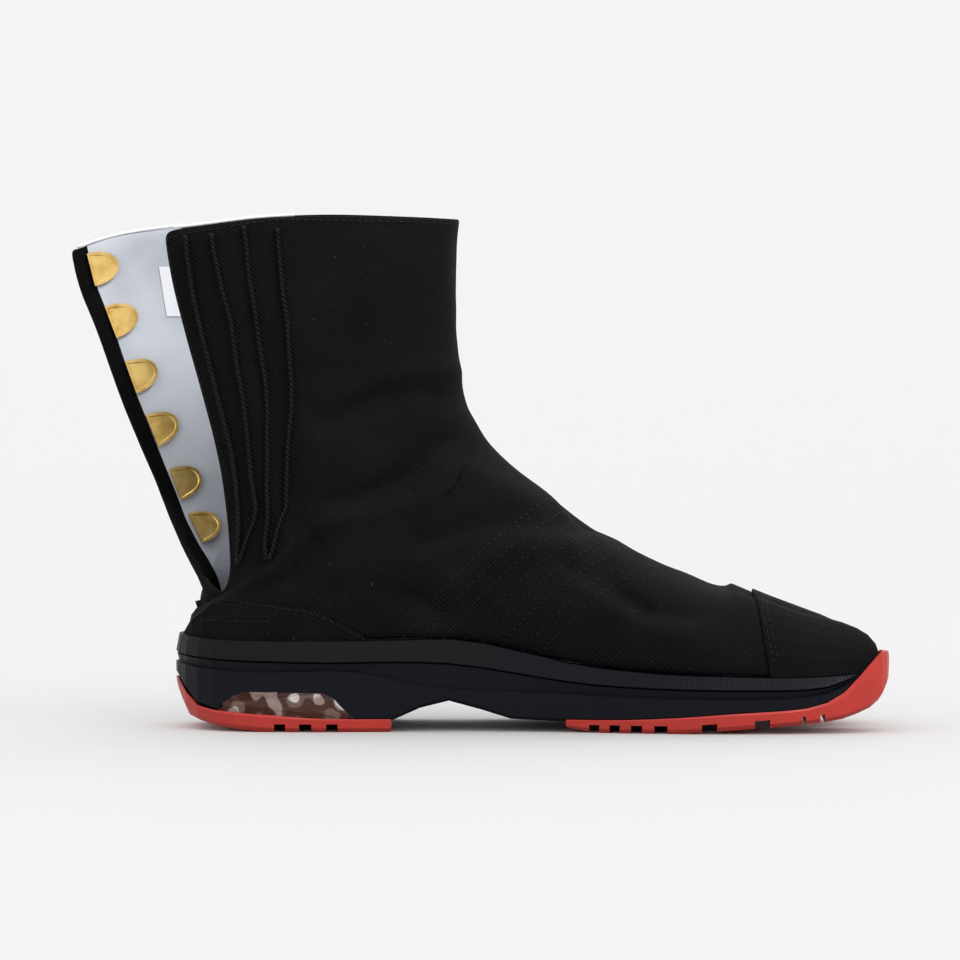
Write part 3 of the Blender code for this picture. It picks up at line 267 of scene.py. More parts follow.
twill = new_material("twill", TWILL_DARK, 0.82, Specular_IOR_Level=0.10)
wiring = Wiring(twill)
twill_height, twill_colour = twill_weave(wiring)
wiring.colour(twill_colour)
wiring.bump(twill_height, 0.50, 0.00030)

lining = new_material("lining", LINING_PALE, 0.92, Specular_IOR_Level=0.10)
wiring = Wiring(lining)
cloth = wiring.noise(1500.0, 2.0)
pale = wiring.mix(wiring.steps(wiring.noise(35.0), 0.3, 0.8), LINING_PALE, LINING_SHADE)
past_hem = wiring.node("ShaderNodeAttribute", attribute_name="past_hem").outputs["Fac"]
wiring.colour(wiring.mix(wiring.steps(past_hem, -0.15, 0.15), TWILL_DARK, pale))
wiring.bump(cloth, 0.25, 0.0003)

thread = new_material("thread", (0.0040, 0.0040, 0.0048), 0.60, Specular_IOR_Level=0.16)
cord_black = new_material("cord_black", (0.0020, 0.0020, 0.0026), 0.66, Specular_IOR_Level=0.14)
piping = new_material("piping", (0.60, 0.61, 0.63), 0.85)
label_white = new_material("label_white", (0.62, 0.63, 0.66), 0.60)

# %% [markdown]
# ### Metal and sole
#
# The clasps are stamped brass with a soft tarnish. The treads are red rubber. The moulded sole has fine
# upright ribs and two tones. The air cell is clear soft plastic, with brownish pockets inside and pale blobs
# of painted highlight.

# %% Brass, rubber, moulded sole and air cell
BRASS_BRIGHT = (0.80, 0.55, 0.19)
BRASS_TARNISHED = (0.52, 0.31, 0.07)
RED_LIGHT = (0.38, 0.021, 0.012)
RED_DEEP = (0.29, 0.013, 0.008)
brass = new_material("brass", (0.72, 0.47, 0.13), 0.30, Metallic=1.0)
wiring = Wiring(brass)
tarnish = wiring.steps(wiring.noise(160.0, 4.0), 0.35, 0.75)
wiring.colour(wiring.mix(tarnish, BRASS_BRIGHT, BRASS_TARNISHED))
wiring.bump(wiring.noise(900.0, 2.0), 0.15, 0.0002)

red_rubber = new_material("red_rubber", (0.50, 0.030, 0.018), 0.42, Specular_IOR_Level=0.4)
wiring = Wiring(red_rubber)
wiring.colour(wiring.mix(wiring.noise(60.0, 3.0), RED_LIGHT, RED_DEEP))
wiring.bump(wiring.noise(1800.0, 2.0), 0.18, 0.0002)

MOULDED_TOP = (0.0020, 0.0022, 0.0027)
MOULDED_LOW = (0.0014, 0.0021, 0.0048)
moulded = new_material("moulded", MOULDED_LOW, 0.50, Specular_IOR_Level=0.12)
wiring = Wiring(moulded)
band = wiring.node("ShaderNodeAttribute", attribute_name="top_band").outputs["Fac"]
ribs = wiring.wave(260.0, "X")
wiring.colour(wiring.mix(band, MOULDED_LOW, MOULDED_TOP))
wiring.bump(wiring.math("ADD", ribs, wiring.math("MULTIPLY", wiring.noise(2000.0), 0.5)), 0.35, 0.00025)

POCKET_BROWN = (0.085, 0.035, 0.026)
HIGHLIGHT_PALE = (0.85, 0.78, 0.74)
clear = new_material("clear", (0.80, 0.62, 0.55), 0.06, Transmission_Weight=0.75, IOR=1.35)
wiring = Wiring(clear)
# The pale blobs are painted highlights, where light shines through and off the clear cell; the brown between
# them is the pockets' tint.
painted_highlights = wiring.steps(wiring.noise(150.0, 0.0), 0.54, 0.60)
wiring.colour(wiring.mix(painted_highlights, POCKET_BROWN, HIGHLIGHT_PALE))
wiring.bump(wiring.noise(150.0, 0.0), 0.4, 0.0020)
insole_grey = new_material("insole_grey", (0.30, 0.30, 0.32), 0.95)
wiring = Wiring(insole_grey)
wiring.bump(wiring.noise(1500.0), 0.3, 0.0003)
print("materials:", len(bpy.data.materials))

# %% [markdown]
# ## The upper
#
# On the real boot the upper is one skin of black twill over a pale lining, and it wrinkles where the ankle
# bends. It could be made by a cloth simulation, but the folds would then fall by chance. Here the CAD shell
# is copied, rounded by subdivision and creased along listed lines. Each crease is a line on the side of the
# boot with a depth and a width. Both faces of the wall move together, so it keeps its thickness.
#
# A point moves outwards, away from the nearest of the boot's middle lines, which run down the shaft and out
# into each lobe.

# %% The middle lines, and outwards from them
CENTRES = (
    ((0.012, 0.0, 0.215), (0.018, 0.0, 0.100), (0.030, 0.0, 0.060), (0.080, -0.001, 0.050)),
    ((0.080, -0.001, 0.050), (0.130, -0.003, 0.040), (0.165, -0.024, 0.036), (0.215, -0.027, 0.032)),
    ((0.080, -0.001, 0.050), (0.130, 0.006, 0.040), (0.165, 0.018, 0.036), (0.206, 0.015, 0.032)),
    ((-0.015, 0.0, 0.045), (0.030, 0.0, 0.055)),
)


def nearest_centre(point):
    """The nearest point of the boot's middle lines."""
    best = None
    for line in CENTRES:
        for start, end in zip(line[:-1], line[1:]):
            a = Vector(start)
            along = Vector(end) - a
            share = min(1.0, max(0.0, (point - a).dot(along) / along.length_squared))
            place = a + along * share
            if best is None or (point - place).length < (point - best).length:
                best = place
    return best


def outward(point):
    """Away from the boot's middle."""
    return (point - nearest_centre(point)).normalized()


print("middle lines:", len(CENTRES))

# %% Creases
# Each crease: side (-1 medial, 1 lateral, 0 both), depth (minus is a trough), width, points in millimetres
CREASES = (
    (-1, 1.1, 4.0, ((-24.8, 54.0), (-15.2, 58.0), (-5.6, 64.0), (2.8, 76.4))),
    (-1, -1.3, 4.5, ((-23.2, 49.2), (-12.8, 53.2), (-1.6, 60.4), (8.8, 72.8))),
    (-1, -1.5, 5.0, ((52.4, 76.4), (70.4, 82.8), (90.4, 85.6), (116.4, 82.0))),
    (-1, 1.2, 5.5, ((64.4, 59.6), (74.4, 66.0), (90.4, 73.2), (108.4, 72.8))),
    (-1, -1.8, 9.0, ((52.0, 50.8), (55.2, 58.8), (62.4, 66.8))),
    (-1, 1.0, 6.0, ((58.4, 106.0), (74.4, 99.6), (90.4, 92.4), (101.6, 86.0))),
    (-1, -1.0, 4.5, ((14.4, 90.8), (32.4, 94.0), (50.4, 102.8), (63.2, 114.8))),
    (-1, 0.9, 5.0, ((10.4, 82.8), (30.4, 86.0), (50.4, 92.4), (66.4, 100.4))),
    (-1, -0.8, 3.8, ((122.4, 64.4), (130.4, 54.8), (142.4, 48.4), (158.4, 46.0))),
    (-1, 0.8, 4.2, ((127.2, 70.0), (138.4, 62.0), (154.4, 55.6), (171.2, 50.8))),
    (-1, -0.8, 5.0, ((14.4, 122.8), (31.2, 130.8), (50.4, 134.0), (63.2, 131.6))),
    (-1, 0.7, 5.0, ((18.4, 130.8), (34.4, 140.4), (54.4, 144.4), (64.8, 142.0))),
    (-1, -0.7, 6.0, ((-12.8, 158.8), (-8.8, 130.8), (-3.2, 106.8), (2.4, 82.8))),
    (-1, 0.7, 6.0, ((34.4, 194.8), (31.2, 170.8), (34.4, 150.8))),
    (-1, -0.8, 5.0, ((-17.6, 40.4), (14.4, 50.8), (42.4, 54.8), (58.4, 46.0))),
    (0, -0.9, 3.6, ((106.4, 68.4), (122.4, 58.8), (138.4, 49.2))),
    (1, -1.3, 5.0, ((2.4, 74.8), (34.4, 90.8), (62.4, 102.8))),
    (1, 1.0, 5.0, ((6.4, 66.8), (38.4, 82.8), (70.4, 90.8))),
    (1, -1.1, 5.0, ((74.4, 66.8), (94.4, 76.8), (118.4, 72.8))),
    (1, -0.8, 6.0, ((-5.6, 154.8), (-1.6, 122.8), (2.4, 90.8))),
    (1, 0.8, 5.0, ((122.4, 60.8), (146.4, 54.8), (170.4, 50.8))),
)
CREASE_GAIN = 1.8
RIPPLE = 0.6
RIPPLE_COARSE = 42.0
RIPPLE_FINE = 95.0
SIDE_FADE = 8.0

# Places that stay smooth, in millimetres: the stiff heel, the toes, the foot's edge and the slit's end
CALM_FADE = 8.0
HEEL_TOP = 53.0
HEEL_FRONT = 30.0
TOE_START = 181.0
FOOT_EDGE = 34.0
SLIT_END = (-38.0, 54.0)
SLIT_CALM = 8.0
SLIT_FADE = 10.0
FLAP_START = -24.0
FLAP_SHARE = 0.35


def line_distance(x, z, line):
    """Distance from many points to a line in the side view, in millimetres."""
    best = np.full(len(x), 1e9)
    for (ax, az), (bx, bz) in zip(line[:-1], line[1:]):
        length = (bx - ax) ** 2 + (bz - az) ** 2
        share = np.clip(((x - ax) * (bx - ax) + (z - az) * (bz - az)) / length, 0.0, 1.0)
        best = np.minimum(best, np.hypot(x - ax - share * (bx - ax), z - az - share * (bz - az)))
    return best


def crease_depths(points):
    """How far each point moves outwards, in millimetres."""
    x, y, z = (points / MM).T
    moves = np.zeros(len(points))
    for side, depth, width, line in CREASES:
        weight = np.clip(0.5 + side * y / SIDE_FADE, 0.0, 1.0) if side else 1.0
        moves += weight * depth * np.exp(-(line_distance(x, z, line) / width) ** 2)
    ripple = []
    for point in points:
        place = Vector(point)
        ripple.append(noise.noise(place * RIPPLE_COARSE) + 0.5 * noise.noise(place * RIPPLE_FINE))
    moves = CREASE_GAIN * moves + RIPPLE * np.array(ripple)
    above_heel = np.clip((z - HEEL_TOP) / CALM_FADE, 0.0, 1.0)
    free_heel = above_heel + np.clip((x - HEEL_FRONT) / CALM_FADE, 0.0, 1.0)
    free_toe = np.clip((TOE_START - x) / CALM_FADE, 0.0, 1.0)
    free_foot = np.clip((z - FOOT_EDGE) / CALM_FADE, 0.0, 1.0)
    from_slit = np.hypot(x - SLIT_END[0], z - SLIT_END[1])
    free_slit = np.clip((from_slit - SLIT_CALM) / SLIT_FADE, 0.0, 1.0)
    free_flap = np.where(x < FLAP_START, FLAP_SHARE, 1.0)
    return moves * np.minimum(free_heel, 1.0) * free_toe * free_foot * free_slit * free_flap


print("creases:", len(CREASES))

# %% [markdown]
# At the back of the heel the CAD shell lies up to about 4 mm ahead of the photograph's contour, so it is
# held out here. The push is greatest at mid height, fades towards the sole and the slit, and is used for the
# shell and for the sewn counter alike.

# %% The heel's rear contour
HEEL_PUSH = 4.6
HEEL_PUSH_HEIGHT = 48.5
HEEL_PUSH_WIDTH = 7.5
PUSH_START_X = -12.0
PUSH_FADE_X = 16.0
PUSH_START_Z = 36.0
PUSH_FADE_Z = 6.0


def push_heel(points):
    """Moves the heel's rear contour out, most of all at mid height."""
    x, _, z = (points / MM).T
    rearward = np.clip((PUSH_START_X - x) / PUSH_FADE_X, 0.0, 1.0)
    share = rearward * np.exp(-((z - HEEL_PUSH_HEIGHT) / HEEL_PUSH_WIDTH) ** 2)
    pushed = points.copy()
    pushed[:, 0] -= HEEL_PUSH * MM * share * np.clip((z - PUSH_START_Z) / PUSH_FADE_Z, 0.0, 1.0)
    return pushed


# %% [markdown]
# The CAD mesh is loose triangles, so the copy is merged first. Its triangles are joined into four-sided faces
# where they lie flat, because Subdivision Surface rounds those more evenly.

# %% Copy and round the shell
ROUNDING = 2
shell_mesh = nodes["upper"].data.copy()
shell_mesh.name = "upper_shell"
shell = bpy.data.objects.new("upper_shell", shell_mesh)
scene.collection.objects.link(shell)
shell.matrix_world = nodes["upper"].matrix_world
bpy.context.view_layer.update()
shell_mesh.transform(shell.matrix_world)
shell.matrix_world.identity()

bm = bmesh.new()
bm.from_mesh(shell_mesh)
bmesh.ops.remove_doubles(bm, verts=bm.verts, dist=1e-6)
bmesh.ops.join_triangles(bm, faces=bm.faces, angle_face_threshold=0.5, angle_shape_threshold=0.9)
bm.to_mesh(shell_mesh)
bm.free()
shell_mesh.materials.clear()
shell_mesh.materials.append(twill)
shell_mesh.materials.append(lining)
rounding = shell.modifiers.new("rounding", "SUBSURF")
rounding.levels = ROUNDING
rounding.render_levels = ROUNDING
bpy.context.view_layer.update()
rounded = bpy.data.meshes.new_from_object(shell.evaluated_get(bpy.context.evaluated_depsgraph_get()))
shell.modifiers.clear()
shell.data = rounded
print("rounded faces:", len(rounded.polygons))

# %% [markdown]
# Which faces are lining follows from the way they face: towards the middle of the boot. The edge of the
# black hem can't follow the faces, or it would show their steps. Each point instead keeps its distance past
# the hem's edge, and the lining's material turns black where that distance is below nothing.

# %% Lining, hem and facing, then the creases
HEM_LINE = (
    (-25.8, 52.0), (-30.3, 58.8), (-35.5, 67.6), (-38.3, 71.7), (-43.8, 82.0), (-47.8, 92.3),
    (-56.5, 113.7), (-64.6, 134.3), (-72.3, 156.5), (-80.3, 177.1), (-83.6, 190.8), (-84.6, 195.7),
)
NEAR_SIDE_Y = -8.0
NEAR_SIDE_PAST = 10.0
FACING_FROM_X = -46.0
FACING_FROM_Z = 189.0
LINED_BELOW = -0.05


def lined(polygon):
    """True on the inner face of the wall."""
    return polygon.normal.dot(outward(polygon.center)) < LINED_BELOW


rounded.polygons.foreach_set("material_index", [int(lined(polygon)) for polygon in rounded.polygons])
places = np.empty(len(rounded.vertices) * 3)
rounded.vertices.foreach_get("co", places)
places = places.reshape(-1, 3)

# How far a point lies past the inner edge of the black hem, in millimetres: the lining starts at nothing.
# A black facing runs inside the collar too.
hem_x, hem_z = zip(*HEM_LINE)
past_hem = places[:, 0] / MM - np.interp(places[:, 2] / MM, hem_z, hem_x)
past_hem[places[:, 1] / MM < NEAR_SIDE_Y] = NEAR_SIDE_PAST
below_facing = np.maximum(FACING_FROM_Z - places[:, 2] / MM, FACING_FROM_X - places[:, 0] / MM)
past_hem = np.minimum(past_hem, below_facing)
rounded.attributes.new("past_hem", "FLOAT", "POINT").data.foreach_set("value", past_hem)
moves = crease_depths(places) * MM
directions = np.array([outward(Vector(point)) for point in places])
rounded.vertices.foreach_set("co", push_heel(places + directions * moves[:, None]).ravel())
rounded.update()
rounded.shade_smooth()
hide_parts("upper")
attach(shell, "root")
print("upper triangles:", sum(len(p.vertices) - 2 for p in rounded.polygons))

# %% [markdown]
# The counter is a patch sewn over the heel. It is copied from the CAD node and held out by the same push as
# the shell, so that the two stay in touch.

# %% Counter, held out with the shell
COUNTER_LIFT = 0.00025
counter_mesh = nodes["heel_counter"].data.copy()
counter_mesh.name = "counter_dressed"
counter = bpy.data.objects.new("counter_dressed", counter_mesh)
scene.collection.objects.link(counter)
counter_mesh.transform(nodes["heel_counter"].matrix_world)
places = np.empty(len(counter_mesh.vertices) * 3)
counter_mesh.vertices.foreach_get("co", places)
places = places.reshape(-1, 3)
places += np.array([outward(Vector(point)) for point in places]) * COUNTER_LIFT
counter_mesh.vertices.foreach_set("co", push_heel(places).ravel())
counter_mesh.update()
counter_mesh.materials.clear()
counter_mesh.materials.append(twill)
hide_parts("heel_counter")
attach(counter, "root")
print("counter points:", len(counter_mesh.vertices))

# %% [markdown]
# ## Sewing
#
# A fan of stitches crosses the instep, and the counter, the panel's edges and the toe caps are sewn too. Each
# row is drawn in the side view and dropped onto the surface. One Geometry Nodes tree lays short thread loops
# along every row, since they repeat by the hundred, and the result is turned into a plain mesh.

# %% Drop lines onto the surface
bpy.context.view_layer.update()


def surface_tree(*objects):
    """One ray tree over several objects."""
    points = []
    faces = []
    for item in objects:
        base = len(points)
        points += [item.matrix_world @ vertex.co for vertex in item.data.vertices]
        faces += [[base + index for index in polygon.vertices] for polygon in item.data.polygons]
    return BVHTree.FromPolygons(points, faces)


OUTSIDE = 0.12
LINE_SOFTNESS = 6.0
sewn = ("toe_cap_big", "toe_cap_small")
skin = surface_tree(shell, counter, *(nodes[name] for name in sewn))


def smooth_line(line, spacing):
    """A line through its points as a smooth curve, with even steps, in millimetres."""
    line = np.array(line, float)
    steps = np.concatenate([[0.0], np.cumsum(np.hypot(*np.diff(line, axis=0).T))])
    fine = np.arange(0.0, steps[-1], spacing)
    if len(line) < 3:
        return np.stack([np.interp(fine, steps, line[:, axis]) for axis in (0, 1)], axis=1)
    smoothed = []
    for axis in (0, 1):
        column = np.interp(fine, steps, line[:, axis])
        window = max(1, int(LINE_SOFTNESS / spacing))
        padded = np.concatenate([np.full(window, column[0]), column, np.full(window, column[-1])])
        if len(column) > window:
            padded[:window] = 2 * column[0] - column[1:window + 1][::-1]
            padded[-window:] = 2 * column[-1] - column[-window - 1:-1][::-1]
        kernel = np.hanning(2 * window + 1)
        smoothed.append(np.convolve(padded, kernel / kernel.sum(), mode="valid"))
    return np.stack(smoothed, axis=1)


def drop(line, side=-1, lift=0.0, spacing=1.0):
    """Points of a side-view line on the surface, with the surface's normals."""
    found = []
    for x, z in smooth_line(line, spacing):
        place, normal, _, _ = skin.ray_cast(Vector((x * MM, side * OUTSIDE, z * MM)), Vector((0, -side, 0)))
        if place is None:
            continue
        if normal.y * side < 0:
            normal.negate()
        found.append((place + normal * lift, normal))
    return found


print("faces to drop lines on:", len(shell.data.polygons))

# %% The stitching tree
STITCH = 0.0021
STITCH_PITCH = 0.0029
STITCH_RADIUS = 0.00027
STITCH_SIDES = 6
STITCH_RINGS = 5


def stitch_tree(material):
    """Geometry Nodes: a curve becomes a row of short thread loops, aligned with it."""
    tree = bpy.data.node_groups.new("stitching", "GeometryNodeTree")
    tree.interface.new_socket("Geometry", in_out="INPUT", socket_type="NodeSocketGeometry")
    tree.interface.new_socket("Geometry", in_out="OUTPUT", socket_type="NodeSocketGeometry")
    for size_name, size in (("Pitch", STITCH_PITCH), ("Radius", STITCH_RADIUS), ("Half length", STITCH / 2)):
        socket = tree.interface.new_socket(size_name, in_out="INPUT", socket_type="NodeSocketFloat")
        socket.default_value = size
    add = tree.nodes.new
    source = add("NodeGroupInput")
    curve = add("GeometryNodeMeshToCurve")
    even = add("GeometryNodeResampleCurve")
    even.mode = "LENGTH"
    loop = add("GeometryNodeMeshUVSphere")
    loop.inputs["Segments"].default_value = STITCH_SIDES
    loop.inputs["Rings"].default_value = STITCH_RINGS
    loop.inputs["Radius"].default_value = 1.0
    scale = add("ShaderNodeCombineXYZ")
    shape = add("GeometryNodeTransform")
    tangent = add("GeometryNodeInputTangent")
    turn = add("FunctionNodeAlignEulerToVector")
    turn.axis = "Z"
    lay = add("GeometryNodeInstanceOnPoints")
    real = add("GeometryNodeRealizeInstances")
    finish = add("GeometryNodeSetMaterial")
    finish.inputs["Material"].default_value = material
    result = add("NodeGroupOutput")
    for a, b in (
        (source.outputs[0], curve.inputs["Mesh"]),
        (curve.outputs["Curve"], even.inputs["Curve"]),
        (source.outputs["Pitch"], even.inputs["Length"]),
        (source.outputs["Radius"], scale.inputs["X"]),
        (source.outputs["Radius"], scale.inputs["Y"]),
        (source.outputs["Half length"], scale.inputs["Z"]),
        (scale.outputs["Vector"], shape.inputs["Scale"]),
        (even.outputs["Curve"], lay.inputs["Points"]),
        (loop.outputs["Mesh"], shape.inputs["Geometry"]),
        (shape.outputs["Geometry"], lay.inputs["Instance"]),
        (tangent.outputs["Tangent"], turn.inputs["Vector"]),
        (turn.outputs["Rotation"], lay.inputs["Rotation"]),
        (lay.outputs["Instances"], real.inputs["Geometry"]),
        (real.outputs["Geometry"], finish.inputs["Geometry"]),
        (finish.outputs["Geometry"], result.inputs[0]),
    ):
        tree.links.new(a, b)
    return tree


stitching = stitch_tree(thread)


def sew(name, rows):
    """Rows of points become one plain mesh of stitches."""
    points = []
    edges = []
    for row in rows:
        base = len(points)
        points += [tuple(place) for place, _ in row]
        edges += [(base + i, base + i + 1) for i in range(len(row) - 1)]
    mesh = bpy.data.meshes.new(name)
    mesh.from_pydata(points, edges, [])
    made = bpy.data.objects.new(name, mesh)
    scene.collection.objects.link(made)
    modifier = made.modifiers.new("stitching", "NODES")
    modifier.node_group = stitching
    for item in stitching.interface.items_tree:
        if item.in_out == "INPUT" and item.socket_type == "NodeSocketFloat":
            modifier[item.identifier] = item.default_value
    bpy.context.view_layer.update()
    plain = bpy.data.meshes.new_from_object(made.evaluated_get(bpy.context.evaluated_depsgraph_get()))
    made.modifiers.clear()
    made.data = plain
    plain.shade_smooth()
    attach(made, "root")


# %% Where the seams run, in millimetres, as (x, z) in the side view
SEAM_LIFT = 0.00012
INSTEP_FEET = (
    (43.2, 36.0), (50.8, 36.0), (59.6, 36.4), (68.0, 35.8), (75.6, 34.6), (82.0, 33.4), (90.8, 31.6),
    (97.8, 30.2),
)
INSTEP_TOPS = (
    (101.6, 91.6), (107.6, 86.8), (113.2, 83.2), (118.4, 78.8), (123.6, 74.8), (129.2, 70.4),
    (136.4, 67.6), (142.4, 65.2),
)
INSTEP_BULGE = 5.4
INSTEP_STEPS = 9
COUNTER_ROW = (
    (-34.8, 51.6), (-26.4, 51.6), (-16.8, 50.8), (-5.6, 49.2), (6.0, 47.6), (14.8, 44.4),
    (23.2, 39.2), (28.8, 36.4),
)
COUNTER_LOW = ((-37.6, 43.6), (-23.6, 43.6), (-9.6, 43.6))
COUNTER_TACK = ((-9.6, 43.6), (-9.6, 38.0))
REAR_EDGE = (
    (-49.6, 194.8), (-48.8, 188.4), (-46.4, 176.8), (-43.2, 164.0), (-39.6, 150.4), (-36.0, 137.2),
    (-32.0, 122.8), (-30.0, 115.6), (-26.4, 104.4), (-25.6, 98.0), (-25.6, 88.4), (-24.9, 71.2),
    (-24.0, 62.0),
)
TOP_EDGE = (
    (-48.8, 195.6), (-42.4, 197.2), (-31.2, 199.0), (-18.8, 201.2), (-4.8, 203.0), (6.4, 202.8),
    (22.4, 202.4), (42.4, 202.0), (63.2, 201.2),
)
CAP_SEAM = ((186.2, 48.4), (187.6, 42.0), (189.0, 34.8), (190.2, 28.8), (190.6, 23.6))
CAP_GAP = 1.7


def instep_rows(side):
    """Eight rows that fan out over the instep, each with a slight bow."""
    rows = []
    for (ax, az), (bx, bz) in zip(INSTEP_FEET, INSTEP_TOPS):
        line = []
        for share in np.linspace(0.0, 1.0, INSTEP_STEPS):
            bulge = INSTEP_BULGE * 4 * share * (1 - share)
            line.append((ax + (bx - ax) * share, az + (bz - az) * share + bulge))
        rows.append(drop(line, side, lift=SEAM_LIFT))
    return rows


sew("stitches_instep_medial", instep_rows(-1))
sew("stitches_instep_lateral", instep_rows(1))
counter_rows = []
for side in (-1, 1):
    counter_rows += [drop(line, side, lift=SEAM_LIFT) for line in (COUNTER_ROW, COUNTER_LOW, COUNTER_TACK)]
sew("stitches_counter", counter_rows)
sew("stitches_panel", [drop(REAR_EDGE, lift=SEAM_LIFT), drop(TOP_EDGE, lift=SEAM_LIFT)])
print("rows of stitches:", 3 + len(counter_rows) + 2 * len(INSTEP_FEET))

# %% [markdown]
# The toe caps are sewn with two rows close to their rear edge. A side-view line can't reach over a lobe, so
# these rows are walked round it: at each angle a ray goes in towards the lobe's middle, and its place along
# the boot is set again from the height that it hit.

# %% Rows round the toe caps
LOBE_CENTRES = ((-0.027, -1), (0.020, 1))
LOBE_HEIGHT = 0.036
CAP_START_X = 0.1885
CAP_RAY = 0.06
CAP_ANGLES = range(-78, 80, 3)
CAP_FLATTEN = 0.6
CAP_TRIES = 3
CAP_FOOT = 0.0235


def cap_rows(centre, side):
    """Two rows round a lobe, just ahead of the cap's edge."""
    rows = []
    heights = [z for _, z in CAP_SEAM]
    for shift in (0.0, CAP_GAP):
        row = []
        for degrees in CAP_ANGLES:
            angle = math.radians(degrees)
            if degrees < 0:
                way = Vector((0, side, math.tan(angle) * CAP_FLATTEN)).normalized()
            else:
                way = Vector((0, side * math.cos(angle), math.sin(angle)))
            x = CAP_START_X
            for _ in range(CAP_TRIES):
                start = Vector((x, centre, LOBE_HEIGHT)) + way * CAP_RAY
                place, normal, _, _ = skin.ray_cast(start, -way)
                if place is None:
                    break
                z = place.z / MM
                x = float(np.interp(z, heights[::-1], [a for a, _ in CAP_SEAM][::-1])) * MM + shift * MM
            if place is None or place.z < CAP_FOOT:
                continue
            if normal.dot(way) < 0:
                normal.negate()
            row.append((place + normal * SEAM_LIFT, normal))
        rows.append(row)
    return rows


sew("stitches_caps", [row for centre, side in LOBE_CENTRES for row in cap_rows(centre, side)])
print("lobes sewn:", len(LOBE_CENTRES))


# %% [markdown]
# ## Cords, piping and label
#
# The two loop cords are sewn to the medial panel, and the clasps hook into them. Each is two strands wound
# round a line. A curve with a bevel would give plain tubes, so the strands are swept here as meshes. The same
# tube makes the piping, the roll of pale lining that shows along the collar.

# %% Tubes along a line
STEEPEST = 0.1
SOFTENING_TURNS = 3


def tube(points, radius, sides, points_out, faces_out):
    """Adds a round tube along the points, with closed ends."""
    base = len(points_out)
    count = len(points)
    side_way = Vector((0, 0, 1))
    for i, place in enumerate(points):
        ahead = (points[min(i + 1, count - 1)] - points[max(i - 1, 0)]).normalized()
        across = ahead.cross(side_way)
        if across.length < STEEPEST:
            across = ahead.cross(Vector((0, 1, 0)))
        across.normalize()
        up = across.cross(ahead).normalized()
        side_way = up
        for k in range(sides):
            angle = 2 * math.pi * k / sides
            points_out.append(place + (across * math.cos(angle) + up * math.sin(angle)) * radius)
    for i in range(count - 1):
        for k in range(sides):
            a = base + i * sides + k
            b = base + i * sides + (k + 1) % sides
            faces_out.append((a, b, b + sides, a + sides))
    faces_out.append([base + k for k in reversed(range(sides))])
    faces_out.append([base + (count - 1) * sides + k for k in range(sides)])


def softened(line):
    """The line with its kinks eased and its ends kept."""
    for _ in range(SOFTENING_TURNS):
        eased = [(a + b * 2 + c) / 4 for a, b, c in zip(line, line[1:], line[2:])]
        line = [line[0]] + eased + [line[-1]]
    return line


def line_length(line):
    return sum((b - a).length for a, b in zip(line, line[1:]))


def evened(points, spacing):
    """The same line with a point at every spacing."""
    lengths = [0.0]
    for a, b in zip(points[:-1], points[1:]):
        lengths.append(lengths[-1] + (b - a).length)
    places = np.arange(0.0, lengths[-1], spacing)
    columns = [np.interp(places, lengths, [point[axis] for point in points]) for axis in range(3)]
    return [Vector(row) for row in zip(*columns)]


# %% Loop cords
CORD_LIFT = 0.00105
CORD_STEP = 0.0006
CORD_SIDES = 6
CORD_STRAND = 0.00062
CORD_SWING = 0.00048
CORD_TURN = 0.0042
REAR_CORD = (
    (-41.9, 196.5), (-41.2, 188.8), (-38.8, 172.0), (-35.6, 158.0), (-31.2, 140.4), (-27.2, 124.4),
    (-24.0, 111.5), (-22.4, 101.6), (-21.2, 90.4), (-20.8, 79.9), (-21.6, 70.0), (-21.6, 64.4),
    (-20.2, 68.4), (-17.6, 76.7), (-14.4, 84.3), (-14.0, 88.7), (-15.6, 97.2), (-16.8, 107.7),
    (-17.6, 118.5), (-19.2, 131.7), (-21.2, 142.0), (-22.8, 153.6), (-24.2, 163.9), (-27.2, 173.9),
    (-30.4, 188.8), (-31.7, 197.9),
)
FRONT_CORD = (
    (-18.8, 200.3), (-17.6, 191.6), (-16.8, 180.0), (-14.4, 166.8), (-13.2, 156.3), (-12.0, 147.5),
    (-10.4, 138.8), (-9.6, 127.3), (-10.0, 117.6), (-9.6, 107.7), (-10.0, 94.8), (-9.2, 85.2),
    (-10.8, 74.9), (-9.6, 66.1), (-7.9, 68.4), (-6.8, 74.9), (-4.8, 83.7), (-2.0, 88.7), (-2.4, 94.8),
    (-1.6, 111.5), (0.0, 127.3), (0.0, 137.6), (-1.2, 150.8), (-1.6, 161.6), (-3.2, 171.2),
    (-4.4, 182.7), (-5.6, 200.3),
)


def twisted_cord(name, route, node):
    """Two strands wound round a route that is dropped onto the medial panel."""
    line = softened([place for place, _ in drop(route, lift=CORD_LIFT, spacing=0.5)])
    line = evened(line, CORD_STEP)
    points = []
    faces = []
    for strand in range(2):
        wound = []
        for i, place in enumerate(line):
            ahead = (line[min(i + 1, len(line) - 1)] - line[max(i - 1, 0)]).normalized()
            across = ahead.cross(Vector((0, 1, 0))).normalized()
            up = across.cross(ahead)
            angle = 2 * math.pi * i * CORD_STEP / CORD_TURN + math.pi * strand
            wound.append(place + (across * math.cos(angle) + up * math.sin(angle)) * CORD_SWING)
        tube(wound, CORD_STRAND, CORD_SIDES, points, faces)
    made = add_mesh(name, points, faces, cord_black)
    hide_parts(node)
    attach(made, "root")
    print(name, "length:", round(line_length(line), 3))


twisted_cord("cord_rear", REAR_CORD, "loop_cord_rear")
twisted_cord("cord_front", FRONT_CORD, "loop_cord_front")

# %% [markdown]
# The piping follows the rim of the collar. The rim's faces are the small ones near the top that face upwards,
# and a walk from each to its nearest neighbour puts them in order. The pale roll shows only towards the rear,
# on both sides.

